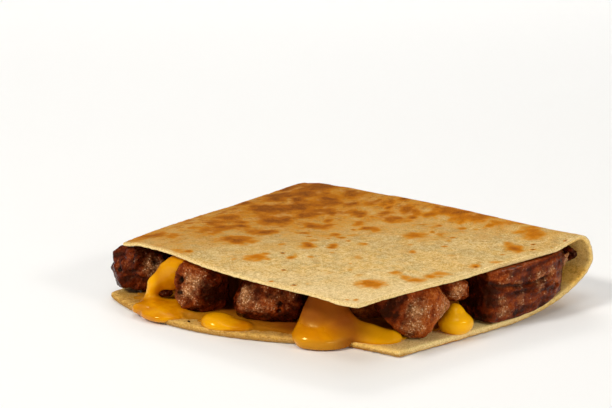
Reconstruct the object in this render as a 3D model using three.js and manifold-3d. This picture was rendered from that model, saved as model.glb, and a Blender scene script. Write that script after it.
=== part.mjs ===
// A piece of beef and cheese quesadilla: one folded flour tortilla around
// chunks of grilled steak and melted yellow cheese. Units are millimetres, +Z up.
//
// The tortilla is a single sheet. It lies flat at the bottom, lifts off the
// surface towards the fold on the +Y side, turns over in a drop-shaped nose and
// comes back as the upper flap. The open rim of the sheet is on the -Y side, and
// the two knife cuts are on the +X and -X sides. The origin is the centre of the
// footprint's box, on the surface the piece rests on.
import * as THREE from "three";
import { mergeVertices } from "three/addons/utils/BufferGeometryUtils.js";
import Module from "manifold-3d";

// ---------------------------------------------------------------- sizes
const SHEET_T = 2.1; // thickness of the tortilla, lower flap and fold
const TOP_T = 1.5; // and of the upper flap, which is pressed thinner
const GAP = 0.35; // clearance kept between neighbouring solids
const ORIGIN_X = -7.05; // centre of the footprint in the working frame below
const ORIGIN_Y = 0.1;

// fold
const NOSE_Y = 62.3; // outermost line of the fold
const NOSE_Z = 14.4; // its height above the surface
const LIFT_RUN = 46.0; // length over which the bottom rises to the nose
const LIFT_POWER = 1.3; // how early it rises
const CREASE_RUN = 8.0; // length from the nose to the top of the fold
const FOLD_TOP = [25.4, 25.1, 25.1, 25.3, 25.4, 25.4, 25.3, 24.7, 24.6, 24.0, 23.8]; // top of the fold, in even steps from the +X cut
const TOP_Z = 21.9; // upper face of the upper flap, away from the fold
const TOP_RISE = 1.2; // how far it rises before the fold's own ridge
const EDGE_DROOP = 1.3; // how far the upper flap hangs at the -X cut
const EDGE_DROOP_RUN = 10.0;

// open rim, from the -X corner (w = 0) to the +X corner (w = 1)
const RIM_LOW_A = -51.7; // Y of the lower rim at the -X corner
const RIM_LOW_B = -32.2; // Y of the lower rim at the +X corner
const RIM_LOW_BULGE = 15.0; // how far the round of the sheet stands out of that line
const RIM_LOW_SHARE = 0.84; // share of the rim that the round takes
const RIM_TOP_A = -48.5;
const RIM_TOP_B = -49.2;
const RIM_TOP_BULGE = 6.0;

// knife cuts
const CUT_PX = 51.6; // X of the +X cut of the lower flap at Y = 0
const CUT_PX_SLOPE = 0.133; // and how it slants with Y
const CUT_PX_ROUND = 1.0; // how far it bows out
const CUT_PX_TOP = 50.6; // the same of the upper flap, which is a little narrower
const CUT_PX_TOP_SLOPE = 0.132;
const CUT_NX = -74.0; // X of the -X cut near the fold
const CUT_NX_IN = 4.2; // how far it comes in at the rim corner, lower flap
const CUT_NX_TOP_IN = 8.4; // and upper flap
const CORNER_R = 12.0; // round corner between the -X cut and the fold

// mesh steps
const N_ACROSS = 16; // along the fold
const N_FLAT = 5;
const N_LIFT = 8;
const N_CREASE = 5;
const N_TOP = 8;

const beefColour = [0x6b3418, 0x7a3f20, 0x5c2a12, 0x84492a];

// ---------------------------------------------------------------- helpers
const clamp = (x, a, b) => Math.min(b, Math.max(a, x));
const lerp = (a, b, t) => a + (b - a) * t;
const smooth = (x) => {
  const t = clamp(x, 0, 1);
  return t * t * (3 - 2 * t);
};
const bump = (x, y, cx, cy, r) =>
  Math.exp(-((x - cx) ** 2 + (y - cy) ** 2) / (r * r));

const rimLow = (w) => {
  const s = clamp(w / RIM_LOW_SHARE, 0, 1);
  return (
    lerp(RIM_LOW_A, RIM_LOW_B, w) -
    RIM_LOW_BULGE * Math.pow(Math.max(0, Math.sin(Math.PI * s)), 0.85)
  );
};
const rimTop = (w) =>
  lerp(RIM_TOP_A, RIM_TOP_B, w) -
  RIM_TOP_BULGE * Math.pow(Math.max(0, Math.sin(Math.PI * w)), 1.2);

// The two cuts, on the lower flap (k = 0) and on the upper flap (k = 1); the same at the fold.
const cutPX = (y, k = 0) => {
  const low =
    CUT_PX +
    CUT_PX_SLOPE * y +
    CUT_PX_ROUND * Math.sin(Math.PI * clamp((y + 33) / (NOSE_Y + 33), 0, 1));
  return k
    ? lerp(CUT_PX_TOP + CUT_PX_TOP_SLOPE * y, low, smooth((y - 12) / 34))
    : low;
};
const cutNX = (y, k = 0) => {
  const inward =
    (k ? CUT_NX_TOP_IN : CUT_NX_IN) * clamp((25 - y) / 75, 0, 2) ** 2;
  const c = clamp((y - (NOSE_Y - CORNER_R)) / (CORNER_R * 1.04), 0, 1);
  return CUT_NX + inward + CORNER_R * (1 - Math.sqrt(1 - c * c));
};
const xAt = (y, u, m = 0, k = 0) => lerp(cutPX(y, k) + m, cutNX(y, k) - m, u);
const uAt = (x, y, k = 0) =>
  clamp((cutPX(y, k) - x) / (cutPX(y, k) - cutNX(y, k)), 0, 1);

// fold sizes change a little along the fold: u = 0 at the +X cut, 1 at the -X cut
const noseZ = (u) => NOSE_Z - 1.0 * u;
const liftRun = (u) => LIFT_RUN - 13 * u;
const foldTopZ = (u) => {
  const s = clamp(u, 0, 1) * (FOLD_TOP.length - 1),
    i = Math.min(Math.floor(s), FOLD_TOP.length - 2);
  return lerp(FOLD_TOP[i], FOLD_TOP[i + 1], smooth(s - i));
};

// soft rises of the upper flap over the pieces under it
const swell = (x, y) =>
  0.7 * bump(x, y, -56, 40, 13) +
  0.8 * bump(x, y, -14, -22, 20) +
  0.7 * bump(x, y, 26, 12, 22) -
  0.8 * bump(x, y, -32, 8, 20) -
  0.5 * bump(x, y, 46, -2, 12) +
  0.5 * bump(x, y, -52, -28, 18) +
  1.2 * bump(x, y, -40, -49, 17) -
  0.9 * bump(x, y, 37, -46, 7);

// upper face of the upper flap
const topZ = (x, y, u) => {
  const yf = NOSE_Y - CREASE_RUN;
  return (
    TOP_Z +
    TOP_RISE * smooth((y - 8) / 40) +
    (foldTopZ(u) - TOP_Z - TOP_RISE) * smooth((y - yf + 14) / 14) +
    swell(x, y) * smooth((yf + 2 - y) / 14) -
    EDGE_DROOP * (1 - smooth((x - cutNX(y, 1)) / EDGE_DROOP_RUN))
  );
};
// lower face of the lower flap
const lowZ = (y, u) => {
  const a = liftRun(u),
    yc = NOSE_Y - a;
  if (y <= yc) return 0;
  const s = clamp((y - yc) / a, 0, 0.995);
  return noseZ(u) * (1 - Math.pow(1 - s * s, LIFT_POWER / 2));
};

// Outer line of the sheet in the YZ plane at u, from the lower rim over the fold
// to the upper rim. m lengthens it at both rims.
function sheetLine(u, m = 0) {
  const w = 1 - u;
  const yLow = rimLow(w) - m,
    yTop = rimTop(w) - m;
  const a = liftRun(u),
    zn = noseZ(u),
    yc = NOSE_Y - a;
  const yf = NOSE_Y - CREASE_RUN,
    zf = topZ(xAt(yf, u, 0, 1), yf, u) - zn;
  const p = [];
  for (let i = 0; i < N_FLAT; i++) p.push([lerp(yLow, yc, i / N_FLAT), 0]);
  for (let i = 0; i < N_LIFT; i++) {
    const t = (Math.PI / 2) * Math.pow(i / N_LIFT, 0.9);
    p.push([yc + a * Math.sin(t), zn * (1 - Math.pow(Math.cos(t), LIFT_POWER))]);
  }
  for (let i = 0; i < N_CREASE; i++) {
    const t = (Math.PI / 2) * (i / N_CREASE);
    p.push([yf + CREASE_RUN * Math.cos(t), zn + zf * Math.sin(t)]);
  }
  for (let i = 0; i <= N_TOP; i++) {
    const y = lerp(yf, yTop, i / N_TOP);
    p.push([y, topZ(xAt(y, u, 0, 1), y, u)]);
  }
  return p;
}
// thickness of the sheet at the line's point j
const thickAt = (j) =>
  lerp(SHEET_T, TOP_T, smooth((j - N_FLAT - N_LIFT) / (N_CREASE + 1)));

// The line moved inwards along its own normal, by d or by d(j) at the point j.
function offsetLine(p, dist) {
  return p.map(([y, z], i) => {
    const d = typeof dist === "function" ? dist(i) : dist;
    const a = p[Math.max(0, i - 1)],
      b = p[Math.min(p.length - 1, i + 1)];
    const l = Math.hypot(b[0] - a[0], b[1] - a[1]);
    return [y - ((b[1] - a[1]) / l) * d, z + ((b[0] - a[0]) / l) * d];
  });
}

// A closed mesh between two grids of points, grid[i][j] = [x, y, z].
function shell(A, B) {
  const ni = A.length,
    nj = A[0].length,
    pos = [],
    idx = [];
  for (const G of [A, B]) for (const row of G) for (const q of row) pos.push(...q);
  const id = (g, i, j) => g * ni * nj + i * nj + j;
  const quad = (a, b, c, d) => idx.push(a, b, c, a, c, d);
  for (let i = 0; i < ni - 1; i++)
    for (let j = 0; j < nj - 1; j++) {
      quad(id(0, i, j), id(0, i + 1, j), id(0, i + 1, j + 1), id(0, i, j + 1));
      quad(id(1, i, j), id(1, i, j + 1), id(1, i + 1, j + 1), id(1, i + 1, j));
    }
  for (let j = 0; j < nj - 1; j++) {
    quad(id(0, 0, j), id(0, 0, j + 1), id(1, 0, j + 1), id(1, 0, j));
    quad(id(0, ni - 1, j), id(1, ni - 1, j), id(1, ni - 1, j + 1), id(0, ni - 1, j + 1));
  }
  for (let i = 0; i < ni - 1; i++) {
    quad(id(0, i, 0), id(1, i, 0), id(1, i + 1, 0), id(0, i + 1, 0));
    quad(id(0, i, nj - 1), id(0, i + 1, nj - 1), id(1, i + 1, nj - 1), id(1, i, nj - 1));
  }
  return facingOut(geometry(pos, idx));
}
function geometry(pos, idx) {
  const g = new THREE.BufferGeometry();
  g.setAttribute("position", new THREE.Float32BufferAttribute(pos, 3));
  g.setIndex(idx);
  return g;
}
function facingOut(g) {
  const p = g.attributes.position,
    ix = g.index.array;
  const a = new THREE.Vector3(),
    b = new THREE.Vector3(),
    c = new THREE.Vector3();
  let v = 0;
  for (let i = 0; i < ix.length; i += 3) {
    a.fromBufferAttribute(p, ix[i]);
    b.fromBufferAttribute(p, ix[i + 1]);
    c.fromBufferAttribute(p, ix[i + 2]);
    v += a.dot(b.cross(c));
  }
  if (v < 0) for (let i = 0; i < ix.length; i += 3) [ix[i + 1], ix[i + 2]] = [ix[i + 2], ix[i + 1]];
  return g;
}

// ---------------------------------------------------------------- tortilla
function sheet(m = 0) {
  const A = [],
    B = [];
  for (let i = 0; i <= N_ACROSS; i++) {
    const u = i / N_ACROSS;
    const line = sheetLine(u, m);
    const place = ([y, z], j) => [xAt(y, u, m, j < N_FLAT + N_LIFT ? 0 : 1), y, z];
    A.push(offsetLine(line, -m).map(place));
    B.push(offsetLine(line, (j) => thickAt(j) + m).map(place));
  }
  return shell(A, B);
}

// heights of the free space between the flaps, at x, y
function roomAt(x, y) {
  const yy = Math.min(y, NOSE_Y - 3);
  const u = uAt(x, yy);
  const s = (lowZ(yy + 0.5, u) - lowZ(yy - 0.5, u)) * 1.0;
  const lo = lowZ(yy, u) + SHEET_T * Math.hypot(1, s);
  const yf = NOSE_Y - CREASE_RUN;
  let hi = topZ(x, Math.min(yy, yf), uAt(x, yy, 1)) - TOP_T - 0.1 * smooth((yy - 30) / 20);
  if (yy > yf) {
    const c = (yy - yf) / CREASE_RUN;
    const top = topZ(x, yf, uAt(x, yy, 1));
    hi = noseZ(u) + (top - noseZ(u)) * Math.sqrt(Math.max(0.02, 1 - c * c)) - SHEET_T * 1.25;
  }
  return [lo, hi];
}

// ---------------------------------------------------------------- chunks
// A lump of meat: a ball pushed out to a rounded block of half sizes a, b, c,
// with uneven sides, turned by yaw and tipped by tilt, and pressed between the flaps.
function lump(o, grow = 0) {
  const g0 = new THREE.IcosahedronGeometry(1, o.detail ?? 3);
  g0.deleteAttribute("normal");
  g0.deleteAttribute("uv");
  const g = mergeVertices(g0, 1e-4);
  const p = g.attributes.position,
    v = new THREE.Vector3();
  const q = new THREE.Quaternion().setFromEuler(
    new THREE.Euler(o.tilt?.[0] ?? 0, o.tilt?.[1] ?? 0, o.yaw ?? 0, "ZYX"),
  );
  const e = o.square ?? 3,
    s = o.seed;
  for (let i = 0; i < p.count; i++) {
    v.fromBufferAttribute(p, i).normalize();
    const r = Math.pow(
      Math.pow(Math.abs(v.x) / o.a, e) +
        Math.pow(Math.abs(v.y) / o.b, e) +
        Math.pow(Math.abs(v.z) / o.c, e),
      -1 / e,
    );
    const uneven =
      0.05 * Math.sin(3.1 * v.x + 1.7 * s) * Math.cos(2.7 * v.y + s) +
      0.04 * Math.sin(5.3 * v.y + 2.3 * s + 2.1 * v.z) +
      0.035 * Math.cos(6.1 * v.z + 3.7 * s + 4.2 * v.x);
    v.multiplyScalar(r * (1 + uneven)).applyQuaternion(q);
    // flat faces left by the knife: n is the face's outward normal, d its distance
    for (const { n, d } of o.faces ?? []) {
      const over = v.x * n[0] + v.y * n[1] + v.z * n[2] - d;
      if (over > 0) {
        v.x -= over * n[0] * 0.94;
        v.y -= over * n[1] * 0.94;
        v.z -= over * n[2] * 0.94;
      }
    }
    p.setXYZ(i, v.x + o.at[0], v.y + o.at[1], v.z + o.at[2]);
  }
  for (let i = 0; i < p.count; i++) {
    const x = p.getX(i),
      y = p.getY(i);
    const [lo, hi] = roomAt(x, y);
    const outside = x > cutPX(y) + 0.5 || x < cutNX(y) - 0.5 || y < -60;
    const k = outside ? -0.4 : 0;
    p.setZ(i, clamp(p.getZ(i), lo + GAP + 0.15 + k * 0, hi - GAP - 0.15));
  }
  if (grow) {
    g.computeVertexNormals();
    const n = g.attributes.normal;
    for (let i = 0; i < p.count; i++)
      p.setXYZ(
        i,
        p.getX(i) + n.getX(i) * grow,
        p.getY(i) + n.getY(i) * grow,
        p.getZ(i) + n.getZ(i) * grow,
      );
    g.deleteAttribute("normal");
  }
  return facingOut(g);
}

const D = Math.PI / 180;
// one face of a chunk that leans in the direction of the heading h, by the slope e
const face = (h, e, d) => ({
  n: [Math.cos(h) * Math.cos(e), Math.sin(h) * Math.cos(e), Math.sin(e)],
  d,
});
const chunks = [
  // the row along the open rim, from the -X corner
  { name: "beef_corner", at: [-63.2, -40.6, 11.2], a: 10.6, b: 10.8, c: 9.4, yaw: 20 * D, square: 2.6, seed: 1, coarse: true },
  { name: "beef_rim_left", at: [-31.0, -43.0, 11.2], a: 9.6, b: 10.4, c: 9.4, yaw: 42 * D, square: 2.5, seed: 2, coarse: true },
  { name: "beef_rim_middle", at: [-7.2, -35.2, 11.2], a: 12.6, b: 9.8, c: 9.4, yaw: 27 * D, square: 3, seed: 3 },
  { name: "beef_rim_behind", at: [18.8, -12.4, 11.2], a: 8.2, b: 8.0, c: 9.2, yaw: 35 * D, square: 2.8, seed: 4, detail: 2 },
  // the row along the +X cut, from the rim corner to the fold
  { name: "beef_cut_tip", at: [37.6, -16.0, 11.2], a: 11.4, b: 8.2, c: 9.6, yaw: 42 * D, square: 3, seed: 5, faces: [face(222 * D, -44 * D, 4.6)] },
  { name: "beef_cut_small", at: [43.2, 0.9, 15.9], a: 6.2, b: 6.0, c: 4.5, yaw: 30 * D, square: 2.6, seed: 6, detail: 2 },
  { name: "beef_cut_block", at: [45.4, 29.2, 12.2], a: 11.4, b: 19.8, c: 10.4, yaw: -7.5 * D, square: 4.4, seed: 7 },
  { name: "beef_cut_fold", at: [49.2, 55.2, 17.0], a: 7.4, b: 3.4, c: 4.6, yaw: 0, square: 2.5, seed: 8, detail: 1 },
  // the row along the -X cut
  { name: "beef_far_a", at: [-62.6, -15.0, 11.0], a: 10.2, b: 11.4, c: 9.4, yaw: -6 * D, square: 3, seed: 9, detail: 2 },
  { name: "beef_far_b", at: [-62.4, 12.2, 11.0], a: 11.0, b: 11.4, c: 9.4, yaw: 10 * D, square: 2.8, seed: 10, detail: 2 },
  { name: "beef_far_c", at: [-60.4, 38.6, 12.2], a: 11.6, b: 11.8, c: 9.6, yaw: -12 * D, square: 2.7, seed: 11, detail: 2 },
  // one seen dimly between the rim chunks
  { name: "beef_inner", at: [-31.6, -17.0, 11.0], a: 11.0, b: 9.6, c: 9.0, yaw: 30 * D, square: 2.8, seed: 12, detail: 1 },
];

// ---------------------------------------------------------------- cheese
// The melted layer between the flaps, from its front wall to the fold.
function core() {
  const A = [],
    B = [];
  const n = 10,
    inside = SHEET_T + GAP + 0.15;
  for (let i = 0; i <= n; i++) {
    const u = lerp(0.1, 0.93, i / n);
    const low = [],
      top = [];
    const line = offsetLine(sheetLine(u), inside);
    const nf = N_FLAT + N_LIFT + Math.floor(N_CREASE / 2);
    const front = rimLow(1 - u) + 25 + 3 * Math.sin(9 * u + 1);
    for (let k = 0; k <= 8; k++) {
      const y = lerp(front, NOSE_Y - 4.4, Math.pow(k / 8, 0.8));
      const pick = (from, to) => {
        for (let j = from; j !== to; j += Math.sign(to - from)) {
          const a = line[j],
            b = line[j + Math.sign(to - from)];
          if ((a[0] - y) * (b[0] - y) <= 0 && a[0] !== b[0])
            return lerp(a[1], b[1], (y - a[0]) / (b[0] - a[0]));
        }
        return noseZ(u);
      };
      low.push([xAt(y, u), y, pick(0, nf)]);
      top.push([xAt(y, u), y, pick(line.length - 1, nf)]);
    }
    A.push(low);
    B.push(top);
  }
  return shell(A, B);
}

// The thin spread on the lower flap: it starts inside the rim and runs under the chunks.
function spread() {
  const A = [],
    B = [];
  const n = 14,
    m = 4;
  for (let i = 0; i <= n; i++) {
    const u = lerp(0.07, 0.95, i / n),
      w = 1 - u;
    const y0 = rimLow(w) + 4.0 + 2.4 * Math.sin(17 * w + 0.6) * Math.cos(5 * w),
      y1 = 8;
    const low = [],
      top = [];
    for (let k = 0; k <= m; k++) {
      const t = k / m,
        y = lerp(y0, y1, t);
      const x = xAt(y, u);
      low.push([x, y, SHEET_T + GAP + 0.12]);
      top.push([x, y, SHEET_T + GAP + 0.5 + 1.2 * Math.pow(Math.min(1, t * 4), 0.5)]);
    }
    A.push(low);
    B.push(top);
  }
  return shell(A, B);
}

// A rounded drop of cheese.
function blob([x, y, z], [a, b, c], yaw = 0, tilt = 0, detail = 2) {
  const g0 = new THREE.IcosahedronGeometry(1, detail);
  g0.deleteAttribute("normal");
  g0.deleteAttribute("uv");
  const g = mergeVertices(g0, 1e-4);
  g.scale(a, b, c);
  g.rotateX(tilt);
  g.rotateZ(yaw);
  g.translate(x, y, z);
  return facingOut(g);
}
const drops = [
  // the string between the two leftmost chunks, its pool, and the lobe over the rim
  blob([-46.6, -39.6, 11.6], [5.2, 4.2, 6.8], 20 * D, 0, 1),
  blob([-46.8, -43.4, 6.0], [4.2, 5.0, 4.6], 15 * D, 0, 1),
  blob([-45.2, -50.4, 2.9], [13.6, 7.0, 2.3], -8 * D),
  blob([-41.0, -57.8, 2.4], [10.4, 4.2, 2.2], 6 * D),
  // the bead under the next gap
  blob([-11.8, -50.2, 3.2], [9.6, 6.4, 2.5], 20 * D),
  // the wide curtain beside the middle chunk, its lobe over the rim, and its tail
  blob([18.4, -34.4, 9.4], [10.8, 8.4, 9.4], 24 * D, -14 * D),
  blob([20.0, -38.6, 3.3], [10.2, 6.4, 3.2], 30 * D),
  blob([34.4, -27.2, 3.0], [10.4, 6.0, 2.3], 14 * D),
  // the bright drop on the +X cut
  blob([46.8, -0.8, 5.4], [5.0, 6.4, 4.8], 6 * D),
  blob([39.6, -1.2, 4.6], [7.4, 5.6, 3.4], 10 * D, 0, 1),
  // on the inner wall of the fold
  blob([43.6, 51.8, 8.8], [7.2, 5.0, 3.4], 0, 42 * D, 1),
  // on the -X cut
  blob([-67.0, -1.6, 6.0], [5.0, 5.4, 5.0], 0, 0, 1),
  blob([-67.4, 25.4, 5.4], [5.2, 6.4, 4.4], 0, 0, 1),
];

const wasm = await Module();
wasm.setup();
function solid(g) {
  return new wasm.Manifold(
    new wasm.Mesh({
      numProp: 3,
      vertProperties: new Float32Array(g.attributes.position.array),
      triVerts: new Uint32Array(g.index.array),
    }),
  );
}
function meshOf(s) {
  const m = s.getMesh();
  const pos = [];
  for (let i = 0; i < m.numVert; i++)
    pos.push(m.vertProperties[i * m.numProp], m.vertProperties[i * m.numProp + 1], m.vertProperties[i * m.numProp + 2]);
  return geometry(pos, Array.from(m.triVerts));
}

// keep the one connected body of the melted cheese
function cheese() {
  let s = solid(core()).add(solid(spread()));
  for (const d of drops) s = s.add(solid(d));
  s = s.subtract(solid(sheet(GAP)));
  for (const c of chunks)
    s = s.subtract(solid(c.coarse ? lump({ ...c, detail: 2 }, GAP + 0.65) : lump(c, GAP + 0.1)));
  // nothing under the surface that the piece rests on
  const under = new THREE.BoxGeometry(400, 400, 20);
  under.translate(0, 0, -9.7);
  under.deleteAttribute("normal");
  under.deleteAttribute("uv");
  s = s.subtract(solid(mergeVertices(under, 1e-4)));
  const bodies = s.decompose().sort((a, b) => b.volume() - a.volume());
  return meshOf(bodies[0]);
}

// ---------------------------------------------------------------- the piece
const piece = new THREE.Group();
piece.position.set(-ORIGIN_X, -ORIGIN_Y, 0);
function node(name, g, colour, roughness) {
  const m = new THREE.Mesh(g, new THREE.MeshStandardMaterial({ color: colour, roughness, metalness: 0 }));
  m.name = name;
  piece.add(m);
}
node("tortilla", sheet(), 0xd8b87c, 0.85);
node("cheese", cheese(), 0xe2960f, 0.3);
chunks.forEach((c, i) => node(c.name, lump(c), beefColour[i % beefColour.length], 0.45));

const quesadilla = new THREE.Group();
quesadilla.add(piece);
export default quesadilla;
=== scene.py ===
import math

import bmesh
import bpy
import numpy as np
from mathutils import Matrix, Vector


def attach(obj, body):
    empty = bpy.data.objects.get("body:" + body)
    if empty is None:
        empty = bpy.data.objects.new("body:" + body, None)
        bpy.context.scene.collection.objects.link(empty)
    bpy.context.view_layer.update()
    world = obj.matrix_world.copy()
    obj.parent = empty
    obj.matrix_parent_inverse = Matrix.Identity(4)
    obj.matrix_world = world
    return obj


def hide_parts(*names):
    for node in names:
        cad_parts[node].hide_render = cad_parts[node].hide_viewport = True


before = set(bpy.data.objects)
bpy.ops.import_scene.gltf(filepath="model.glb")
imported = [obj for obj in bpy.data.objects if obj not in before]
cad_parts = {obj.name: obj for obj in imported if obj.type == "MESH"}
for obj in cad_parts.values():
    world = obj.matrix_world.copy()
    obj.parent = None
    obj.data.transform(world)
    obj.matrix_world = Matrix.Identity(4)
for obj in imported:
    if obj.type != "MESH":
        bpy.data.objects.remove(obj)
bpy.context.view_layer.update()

# ------------------------------------------------------------------ sizes
# Millimetres in a working frame: the fold runs along X at +Y, the open rim is at -Y.
ORIGIN = np.array([-7.05, 0.1, 0.0])
T, TOP_T = 2.1, 1.5
NOSE_Y, NOSE_Z = 62.3, 14.4
LIFT_RUN, LIFT_POWER, CREASE_RUN = 46.0, 1.3, 8.0
FOLD_TOP = np.array([25.4, 25.1, 25.1, 25.3, 25.4, 25.4, 25.3, 24.7, 24.6, 24.0, 23.8])
TOP_Z, TOP_RISE, EDGE_DROOP, EDGE_DROOP_RUN = 21.9, 1.2, 1.3, 10.0
RIM_LOW_A, RIM_LOW_B, RIM_LOW_BULGE, RIM_LOW_SHARE = -51.7, -32.2, 15.0, 0.84
RIM_TOP_A, RIM_TOP_B, RIM_TOP_BULGE = -48.5, -49.2, 3.4
CUT_PX, CUT_PX_SLOPE, CUT_PX_ROUND = 51.6, 0.133, 1.0
CUT_PX_TOP, CUT_PX_TOP_SLOPE = 50.6, 0.132
CUT_NX, CUT_NX_IN, CUT_NX_TOP_IN, CORNER_R = -74.0, 4.2, 8.4, 12.0
SKIN = 0.18  # the relief of the sheet lies in this depth under the frame's surface

C42, S42 = math.cos(math.radians(42)), math.sin(math.radians(42))
ACROSS = np.array([C42, S42, 0.0])  # along the picture's width
AWAY = np.array([-S42, C42, 0.0])  # away from the viewer


def clip(x, a, b):
    return np.minimum(b, np.maximum(a, x))


def smooth(t):
    t = clip(t, 0.0, 1.0)
    return t * t * (3 - 2 * t)


def step(a, b, x):
    return smooth((x - a) / (b - a))


def lerp(a, b, t):
    return a + (b - a) * t


# ------------------------------------------------------------------ noise
_rng = np.random.default_rng(7)
_grad = _rng.normal(size=(256, 3))
_grad /= np.linalg.norm(_grad, axis=1)[:, None]
_perm = _rng.permutation(256)
_perm = np.concatenate([_perm, _perm, _perm])
_cell = _rng.random((256, 4))


def _index(i, seed):
    x, y, z = (i[..., k] & 255 for k in range(3))
    return _perm[(_perm[(_perm[(x + seed * 37) & 255] + y) & 255] + z) & 255]


def perlin(p, seed=0):
    p = np.asarray(p, float)
    i = np.floor(p).astype(np.int64)
    f = p - i
    w = f * f * f * (f * (f * 6 - 15) + 10)
    out = 0.0
    for dx in (0, 1):
        wx = w[..., 0] if dx else 1 - w[..., 0]
        for dy in (0, 1):
            wy = w[..., 1] if dy else 1 - w[..., 1]
            for dz in (0, 1):
                wz = w[..., 2] if dz else 1 - w[..., 2]
                d = np.array([dx, dy, dz])
                g = _grad[_index(i + d, seed)]
                out = out + wx * wy * wz * ((f - d) * g).sum(-1)
    return out * 1.6


def fbm(p, size, octaves=4, seed=0, gain=0.5, lac=2.07):
    """Noise of about -1 to 1 with features of the given size in mm."""
    p = np.asarray(p, float) / size
    out, amp, tot = 0.0, 1.0, 0.0
    for o in range(octaves):
        out = out + amp * perlin(p * lac**o + 17.3 * o, seed + o)
        tot += amp
        amp *= gain
    return out / tot * 1.35


def worley(p, size, seed=0, jitter=1.0):
    """Distances to the nearest and second nearest seed of a jittered lattice, in cells, and the nearest one's own number."""
    q = np.asarray(p, float) / size
    i = np.floor(q).astype(np.int64)
    n = q.shape[0]
    f1, f2, own = np.full(n, 9.0), np.full(n, 9.0), np.zeros(n)
    for dx in (-1, 0, 1):
        for dy in (-1, 0, 1):
            for dz in (-1, 0, 1):
                c = i + np.array([dx, dy, dz])
                k = _index(c, seed)
                r = _cell[k]
                d = np.linalg.norm(c + 0.5 + (r[:, :3] - 0.5) * jitter - q, axis=1)
                near = d < f1
                f2 = np.where(near, f1, np.minimum(f2, d))
                own = np.where(near, r[:, 3], own)
                f1 = np.where(near, d, f1)
    return f1, f2, own


# ------------------------------------------------------------------ the folded sheet's form
def rim_low(w):
    s = clip(w / RIM_LOW_SHARE, 0, 1)
    return lerp(RIM_LOW_A, RIM_LOW_B, w) - RIM_LOW_BULGE * np.maximum(0, np.sin(np.pi * s)) ** 0.85


def rim_top(w):
    return lerp(RIM_TOP_A, RIM_TOP_B, w) - RIM_TOP_BULGE * np.maximum(0, np.sin(np.pi * clip(w, 0, 1))) ** 1.2


def cut_px(y, k=0):
    low = CUT_PX + CUT_PX_SLOPE * y + CUT_PX_ROUND * np.sin(np.pi * clip((y + 33) / (NOSE_Y + 33), 0, 1))
    if k:
        return lerp(CUT_PX_TOP + CUT_PX_TOP_SLOPE * y, low, smooth((y - 12) / 34))
    return low


def cut_nx(y, k=0):
    inward = (CUT_NX_TOP_IN if k else CUT_NX_IN) * clip((25 - y) / 75, 0, 2) ** 2
    c = clip((y - (NOSE_Y - CORNER_R)) / (CORNER_R * 1.04), 0, 1)
    return CUT_NX + inward + CORNER_R * (1 - np.sqrt(1 - c * c))


def x_at(y, u, k=0):
    return lerp(cut_px(y, k), cut_nx(y, k), u)


def u_at(x, y, k=0):
    a, b = cut_px(y, k), cut_nx(y, k)
    return clip((a - x) / (a - b), 0, 1)


def nose_z(u):
    return NOSE_Z - 1.0 * u


def lift_run(u):
    return LIFT_RUN - 13 * u


def fold_top_z(u):
    s = clip(u, 0, 1) * (len(FOLD_TOP) - 1)
    i = np.minimum(np.floor(s), len(FOLD_TOP) - 2).astype(int)
    return lerp(FOLD_TOP[i], FOLD_TOP[i + 1], smooth(s - i))


def bump2(x, y, cx, cy, r):
    return np.exp(-((x - cx) ** 2 + (y - cy) ** 2) / (r * r))


def swell(x, y):
    return (
        0.7 * bump2(x, y, -56, 40, 13)
        + 0.8 * bump2(x, y, -14, -22, 20)
        + 0.7 * bump2(x, y, 26, 12, 22)
        - 0.8 * bump2(x, y, -32, 8, 20)
        - 0.5 * bump2(x, y, 46, -2, 12)
        + 0.5 * bump2(x, y, -52, -28, 18)
        + 1.2 * bump2(x, y, -40, -49, 17)
        - 0.9 * bump2(x, y, 37, -46, 7)
    )


def top_z(x, y, u):
    yf = NOSE_Y - CREASE_RUN
    return (
        TOP_Z
        + TOP_RISE * smooth((y - 8) / 40)
        + (fold_top_z(u) - TOP_Z - TOP_RISE) * smooth((y - yf + 14) / 14)
        + swell(x, y) * smooth((yf + 2 - y) / 14)
        - EDGE_DROOP * (1 - smooth((x - cut_nx(y, 1)) / EDGE_DROOP_RUN))
    )


def low_z(y, u):
    a = lift_run(u)
    s = clip((y - (NOSE_Y - a)) / a, 0, 0.995)
    return nose_z(u) * (1 - (1 - s * s) ** (LIFT_POWER / 2))


def room(x, y):
    """The free heights between the flaps."""
    yy = np.minimum(y, NOSE_Y - 3)
    u = u_at(x, yy)
    u1 = u_at(x, yy, 1)
    slope = low_z(yy + 0.5, u) - low_z(yy - 0.5, u)
    lo = low_z(yy, u) + T * np.hypot(1, slope)
    yf = NOSE_Y - CREASE_RUN
    hi = top_z(x, np.minimum(yy, yf), u1) - TOP_T - 0.1 * smooth((yy - 30) / 20)
    c = clip((yy - yf) / CREASE_RUN, 0, 1)
    curved = nose_z(u) + (top_z(x, yf + 0 * yy, u1) - nose_z(u)) * np.sqrt(np.maximum(0.02, 1 - c * c)) - T * 1.25
    return lo, np.where(yy > yf, curved, hi)


# ------------------------------------------------------------------ mesh helpers
def make_object(name, verts_mm, faces, attributes=None, smooth_shade=True):
    mesh = bpy.data.meshes.new(name)
    co = (np.asarray(verts_mm, float) - ORIGIN) * 0.001
    mesh.from_pydata(co.tolist(), [], faces)
    if smooth_shade:
        mesh.polygons.foreach_set("use_smooth", [True] * len(mesh.polygons))
    for key, values in (attributes or {}).items():
        a = mesh.attributes.new(key, "FLOAT", "POINT")
        a.data.foreach_set("value", np.asarray(values, np.float32))
    mesh.validate()
    mesh.update()
    o = bpy.data.objects.new(name, mesh)
    bpy.context.scene.collection.objects.link(o)
    return o


_ico = {}


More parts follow.
